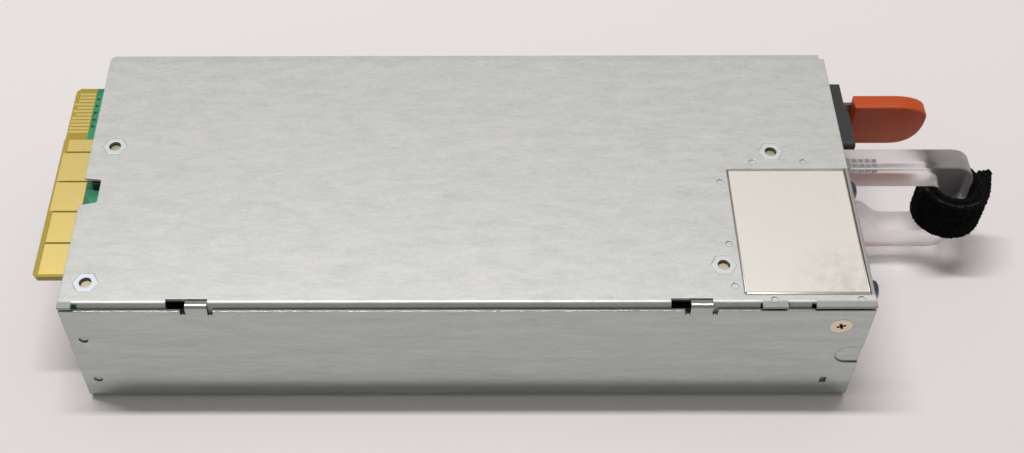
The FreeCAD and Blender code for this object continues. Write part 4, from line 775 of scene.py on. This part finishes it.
def soften_rims(bm, low_y, high_y, radius, segments, keep_x=math.inf):
    """Rounds the outline edges on both flat sides of a slab, but not at keep_x."""
    rims = [e for e in bm.edges
            if len(e.link_faces) == 2 and e.calc_face_angle(0) > 0.9
            and all(abs(v.co.y - low_y) < 0.01 or abs(v.co.y - high_y) < 0.01 for v in e.verts)
            and abs(e.verts[0].co.y - e.verts[1].co.y) < 0.01
            and not all(abs(v.co.x - keep_x) < 0.05 for v in e.verts)]
    soften(bm, rims, radius, segments, clamp=True)


def box_into(bm, low, high):
    """Adds a closed box between two corners and returns its points."""
    made = bmesh.ops.create_cube(bm, size=1.0)["verts"]
    low, high = Vector(low), Vector(high)
    stretch(bm, high - low, made)
    shift(bm, (low + high) / 2, made)
    return made


def edges_at(bm, verts):
    """The edges of the part that these points make up."""
    own = set(verts)
    return [e for e in bm.edges if e.verts[0] in own]


def make_light_facets(front, near, top):
    """Rows of small square lenses on the root of the upper bar: two on its top and one on its near side."""
    bm = bmesh.new()
    for row in range(LENS_ROWS):
        for column in range(LENS_COLUMNS):
            lens = bmesh.ops.create_cone(bm, segments=4, radius1=LENS_RADIUS, radius2=LENS_FLAT,
                                         depth=LENS_RISE, cap_ends=True)["verts"]
            turn(bm, math.pi / 4, "Z", lens)
            along = front + LENS_START + LENS_PITCH * column
            spot = (along, near + LENS_INSET + LENS_PITCH * row, top + LENS_SINK)
            if row == LENS_ROWS - 1:
                turn(bm, math.pi / 2, "X", lens)
                spot = (along, near - LENS_SINK, top - LENS_DROP)
            shift(bm, spot, lens)
    return mesh_piece("light_facets", bm, ["lens"], "case", smooth=0.1)


def make_handle():
    """The clear loop handle, with the light guide's stub behind the faceplate."""
    low, high = node_box("handle")
    front, stub_high = node_box("faceplate")[1].x, node_box("main_board")[0].z - STUB_DROP
    inner_x, inner_low, inner_high = high.x - HANDLE_BAR, low.z + HANDLE_BAR, high.z - HANDLE_BAR
    root, root_high = front + ROOT_LENGTH, low.z + ROOT_HIGH
    bm = plate_from([(front, high.z), (high.x, high.z), (high.x, low.z), (front, low.z), (front, root_high),
                     (root, root_high), (root + ROOT_SLOPE, inner_low), (inner_x, inner_low),
                     (inner_x, inner_high), (front, inner_high)], low.y, high.y)
    soften_corners(bm, [(high.x, high.z), (high.x, low.z)], HANDLE_CORNER, 12)
    soften_corners(bm, [(inner_x, inner_low), (inner_x, inner_high)], HANDLE_INNER, 6)
    soften_corners(bm, [(root, root_high), (root + ROOT_SLOPE, inner_low)], ROOT_SOFT, 5)
    soften_rims(bm, low.y, high.y, HANDLE_RIM, 3, front)
    middle = (low.y + high.y) / 2
    box_into(bm, (low.x, middle - STUB_WIDE / 2, stub_high - STUB_TALL),
             (front + 0.2, middle + STUB_WIDE / 2, stub_high))
    make_light_facets(front, low.y, high.z)
    return mesh_piece("handle_clear", bm, ["clear"], "case", "handle")


def make_tab():
    """The latch's press tab: a slab with a blunt upper corner, a long lower curve and rounded edges."""
    low, high = node_box("latch_tab")
    round_x, split_z = high.x - TAB_ROUND, low.z + TAB_SPLIT * (high.z - low.z)
    bm = bmesh.new()
    bmesh.ops.create_circle(bm, cap_ends=True, segments=64, radius=1.0)
    turn(bm, math.pi / 2, "X")
    for vert in bm.verts:
        fullness = TAB_UPPER if vert.co.z > 0 else TAB_LOWER
        vert.co.x, vert.co.z = (math.copysign(abs(c) ** fullness, c) for c in (vert.co.x, vert.co.z))
        vert.co.z *= high.z - split_z if vert.co.z > 0 else split_z - low.z
    stretch(bm, (TAB_ROUND, 1, 1))
    bmesh.ops.bisect_plane(bm, geom=bm.verts[:] + bm.edges[:] + bm.faces[:], dist=1e-5, plane_co=(0, 0, 0),
                           plane_no=(-1, 0, 0), clear_outer=True)
    shift(bm, (round_x, low.y, split_z))
    straight = [e for e in bm.edges if all(abs(v.co.x - round_x) < 1e-3 for v in e.verts)]
    grown = bmesh.ops.extrude_edge_only(bm, edges=straight)["geom"]
    shift(bm, (low.x - round_x, 0, 0), points_in(grown))
    bmesh.ops.dissolve_edges(bm, edges=straight)
    thicken(bm, (0, high.y - low.y, 0))
    soften_rims(bm, low.y, high.y, TAB_RIM, 4)
    return mesh_piece("latch_tab_rounded", bm, ["tab"], "latch", "latch_tab")


def cloth_section(bm, thick, tall, x, z):
    """Adds a flat section of the strap, from which a sweep starts, and returns its points."""
    made = bmesh.ops.create_grid(bm, x_segments=2, y_segments=STRAP_ROWS, size=0.5)["verts"]
    stretch(bm, (thick, tall, 1), made)
    turn(bm, math.pi / 2, "X", made)
    shift(bm, (x, 0, z), made)
    return made


def roll_strap(bm, seam, geom, top):
    """Sweeps the cloth through its half turns, and the seam's thread along the last of them."""
    radius, left = STRAP_BORE, -STRAP_BORE
    for half in range(STRAP_HALVES):
        side = 1 if half % 2 == 0 else -1
        pivot = left + side * radius
        if half == STRAP_HALVES - 1:
            shift(seam, (left - STRAP_THICK * SEAM_DEPTH, 0, top + 0.02))
            bmesh.ops.rotate(seam, cent=(pivot, 0, 0), matrix=Matrix.Rotation(SEAM_START, 3, "Z"),
                             verts=seam.verts)
            sweep(seam, seam.verts[:] + seam.edges[:], pivot, SEAM_RUN, 64)
        geom = sweep(bm, geom, pivot, math.pi, round(math.pi * radius / STRAP_CELL))
        left = pivot + side * radius
        radius += STRAP_LAP / 2
    return geom


def roughen(bm, seam, low_z, high_z):
    """Frays the cloth's edges and its end, and raises its pile in seeded random tufts."""
    chance = random.Random(STRAP_SEED)
    for vert in bm.verts:
        if vert.co.z < low_z + 0.1 or vert.co.z > high_z - 0.1:
            vert.co.z += chance.uniform(-0.12, 0.2) * (1 if vert.co.z > low_z + 1 else -1)
        if vert.co.x > STRAP_BORE + 1 and vert.co.y > STRAP_TAIL - 0.5:
            vert.co.y += chance.uniform(-0.7, 0.5)
    pile = bmesh.ops.poke(bm, faces=bm.faces[:], offset=TUFT, center_mode="MEAN")["verts"]
    for vert in pile:
        outside = vert.co.xy.length > STRAP_BORE + STRAP_LAP + 1.2
        long = chance.uniform(0.0, TUFT_LONG if outside else TUFT_SHORT)
        vert.co += vert.normal * long + Vector([chance.uniform(-TUFT_JITTER, TUFT_JITTER) for _ in range(3)])
    for vert in seam.verts:
        vert.co.z += chance.uniform(-0.06, 0.06)


def make_strap():
    """The loop cloth strap: rolled round the grip, with a lined tail that stands off, and a stitched seam."""
    low, high = node_box("strap")
    handle_low, handle_high = node_box("handle")
    tall, middle = high.z - low.z, (low.z + high.z) / 2
    bm, seam = bmesh.new(), bmesh.new()
    cloth_section(bm, STRAP_THICK, tall, -STRAP_BORE - STRAP_THICK / 2, middle)
    bmesh.ops.create_circle(seam, segments=5, radius=SEAM_RADIUS)
    turn(seam, math.pi / 2, "X")
    geom = roll_strap(bm, seam, bm.verts[:] + bm.edges[:] + bm.faces[:], high.z)
    steps = round(STRAP_TAIL / STRAP_CELL)
    sweep(bm, geom, 0, 0.0, steps, step=(0, STRAP_TAIL / steps, 0))
    lining = cloth_section(bm, LINING_THICK, tall - LINING_INSET, STRAP_BORE + LINING_OUT, middle)
    own = set(lining)
    faces = [f for f in bm.faces if f.verts[0] in own]
    sweep(bm, lining + faces + edges_at(bm, lining), 0, 0.0, LINING_STEPS, step=(0, STRAP_CELL, 0))
    bmesh.ops.recalc_face_normals(bm, faces=bm.faces)
    roughen(bm, seam, low.z, high.z)
    for shape in (bm, seam):
        bmesh.ops.recalc_face_normals(shape, faces=shape.faces)
        turn(shape, math.radians(STRAP_TURN), "Z")
        shift(shape, (handle_high.x - STRAP_SETBACK, (handle_low.y + handle_high.y) / 2, 0))
    mesh_piece("strap_seam", seam, ["seam"], "strap")
    return mesh_piece("strap_pile", bm, ["strap"], "strap", "strap", math.radians(70))


def capsule(bm, start, end, wide, tall):
    """Adds a bead with round ends from start to end along X or Y, half sunk at its own middle height."""
    made = bmesh.ops.create_uvsphere(bm, u_segments=16, v_segments=10, radius=1.0)["verts"]
    start, run = Vector(start), Vector(end) - Vector(start)
    axis, part = ("Y", 0) if abs(run.x) > abs(run.y) else ("X", 1)
    turn(bm, math.pi / 2, axis, made)
    far = [v for v in made if v.co[part] > 1e-5]
    stretch(bm, (wide / 2, wide / 2, tall), made)
    shift(bm, run, far)
    shift(bm, start, made)


def make_bay_lip():
    """The plate's pressed lip: a bright bead along the window's near edge, and finer ones up its two ends."""
    near, far, rear, front = BAY_NEAR, BAY_FAR, BAY_REAR, BAY_FRONT
    bm = bmesh.new()
    for start, end, wide, tall in (
            ((rear + 0.9, near + 0.72), (front - 1.0, near + 0.72), 1.2, 0.72),
            ((rear + 0.42, near + 1.2), (rear + 0.42, far - 0.5), 0.55, 0.6),
            ((front - 0.32, near + 1.2), (front - 0.32, far - 0.6), 0.4, 0.5)):
        capsule(bm, (*start, PLATE_HIGH.z), (*end, PLATE_HIGH.z), wide, tall)
    return mesh_piece("bay_plate_lip", bm, ["lip"], "case", smooth=math.radians(60))


def make_painted_shade_films():
    """Painted shade as black pieces: a black film over the board's near edge, and a dark block under the tray
    beside the rear notch, both where the inside of the case lies in shade.
    """
    low, high = node_box("main_board")
    rear, notch = CASE_LOW.x, STANDOFF_SPOTS[0][1] - 9.0
    bm = bmesh.new()
    # painted shade: a thin black sheet on the board's near edge, seen through the wall slots
    box_into(bm, (rear + 9, low.y + 0.1, high.z + 0.02), (BAY_REAR - 9, low.y + 9.0, high.z + 0.12))
    # painted shade: a dark block beside the rear notch, where the tray shades the board
    part = box_into(bm, (rear + 1.6, notch - 2.8, high.z + 0.02), (rear + 7.6, notch, high.z + 2.4))
    soften(bm, edges_at(bm, part), 0.2, 2)
    return mesh_piece("board_edge_painted_shade_film", bm, ["black"], "case")


def make_far_rim():
    """The tray's far edge, pressed out square over the cover's wall, with a blunted rear corner."""
    rear, flat_end = CASE_LOW.x + 0.1, node_box("tray")[1].y - TRAY_BEND
    bm = bmesh.new()
    box_into(bm, (rear, flat_end, CASE_HIGH.z - SHEET), (CASE_HIGH.x - 1.3, CASE_HIGH.y - 0.05, CASE_HIGH.z))
    corner = [e for e in bm.edges if all(v.co.x < rear + 1 and v.co.y > flat_end + 1 for v in e.verts)]
    soften(bm, corner, 1.0, 1)
    return mesh_piece("tray_far_rim", bm, ["rim"], "case")


def make_ear_pins():
    """Bright formed pins of the rear panel that stand in the cover's round holes."""
    bm = bmesh.new()
    for side in (-1, 1):
        for height in PIN_HEIGHTS:
            made = bmesh.ops.create_uvsphere(bm, u_segments=12, v_segments=8, radius=1.0)["verts"]
            stretch(bm, PIN_HALF_SIZES, made)
            turn(bm, PIN_TILT * side, "Y", made)
            shift(bm, (CASE_LOW.x + PIN_SETBACK, side * (CASE_HIGH.y - PIN_INSET), height), made)
    return mesh_piece("ear_pins", bm, ["nickel"], "case")


make_pan_screws()
make_cover_screws()
make_standoffs()
make_handle()
make_tab()
make_strap()
make_bay_lip()
make_painted_shade_films()
make_ear_pins()
make_far_rim()


# ---------------------------------------------------------------- stage, light and camera

def make_floor():
    """A pale paper floor just under the part, with painted light that makes it a little lighter towards the
    back.
    """
    bm = bmesh.new()
    bmesh.ops.create_grid(bm, x_segments=1, y_segments=1, size=3.0)
    shift(bm, (0, 0, -0.0001))
    mesh = bpy.data.meshes.new("floor")
    bm.to_mesh(mesh)
    bm.free()
    material, tree, shader = finish_named("floor_paper", Roughness=0.6, Specular_IOR_Level=0.15)
    here = object_place(tree)
    # painted light: the colour grows lighter from the front to the back of the floor
    depth = spread(tree, parts_of(tree, here)[1], -0.1, 0.25)
    tone = mix(tree, depth, rgb(214, 210, 209), rgb(232, 227, 227))
    feed(tree, shader, Base_Color=mix(tree, noise(tree, here, 6, 2), tone, rgb(226, 220, 220)))
    mesh.materials.append(material)
    floor = bpy.data.objects.new("floor", mesh)
    bpy.context.scene.collection.objects.link(floor)


def make_light(name, place, size, energy, color=(1, 1, 1)):
    """A rectangular panel that shines straight down."""
    data = bpy.data.lights.new(name, "AREA")
    data.shape, (data.size, data.size_y) = "RECTANGLE", size
    data.energy, data.color = energy, color
    lamp = bpy.data.objects.new(name, data)
    lamp.location = place
    lamp.rotation_euler = UP.to_track_quat("Z", "Y").to_euler()
    bpy.context.scene.collection.objects.link(lamp)


def make_world():
    """Even, slightly warm light from all sides."""
    world = bpy.data.worlds.new("studio")
    world.use_nodes = True
    sky = world.node_tree.nodes["Background"]
    sky.inputs["Color"].default_value = (1.0, 0.975, 0.9, 1)
    sky.inputs["Strength"].default_value = 0.28
    bpy.context.scene.world = world


def make_camera():
    """The camera above the near side, with its axes in the part's frame and its place in millimetres."""
    data = bpy.data.cameras.new("camera")
    data.lens, data.sensor_width = 49.496, 36.0
    data.shift_x, data.shift_y = 0.0453, 0.0274
    data.clip_start = 0.01
    camera = bpy.data.objects.new("camera", data)
    right = Vector((0.9999931, 0.0007435, -0.0036352))
    down = Vector((-0.0016538, -0.7877067, -0.6160482))
    forward = Vector((-0.0033215, 0.6160500, -0.7877001))
    turn = Matrix((right, -down, -forward)).transposed().to_4x4()
    camera.matrix_world = Matrix.Translation(Vector((0.85, -240.74, 313.35)) * MM) @ turn
    bpy.context.scene.collection.objects.link(camera)
    bpy.context.scene.camera = camera


make_floor()
make_world()
make_light("ceiling_tube", place=(-0.19, 0.14, 1.5), size=(0.95, 0.07), energy=16.5,
           color=(1.0, 0.995, 1.015))
make_light("fill_panel", place=(0.2, 0.2, 1.6), size=(1.2, 1.0), energy=3.0)
make_camera()
bpy.context.scene.view_settings.view_transform = "Standard"
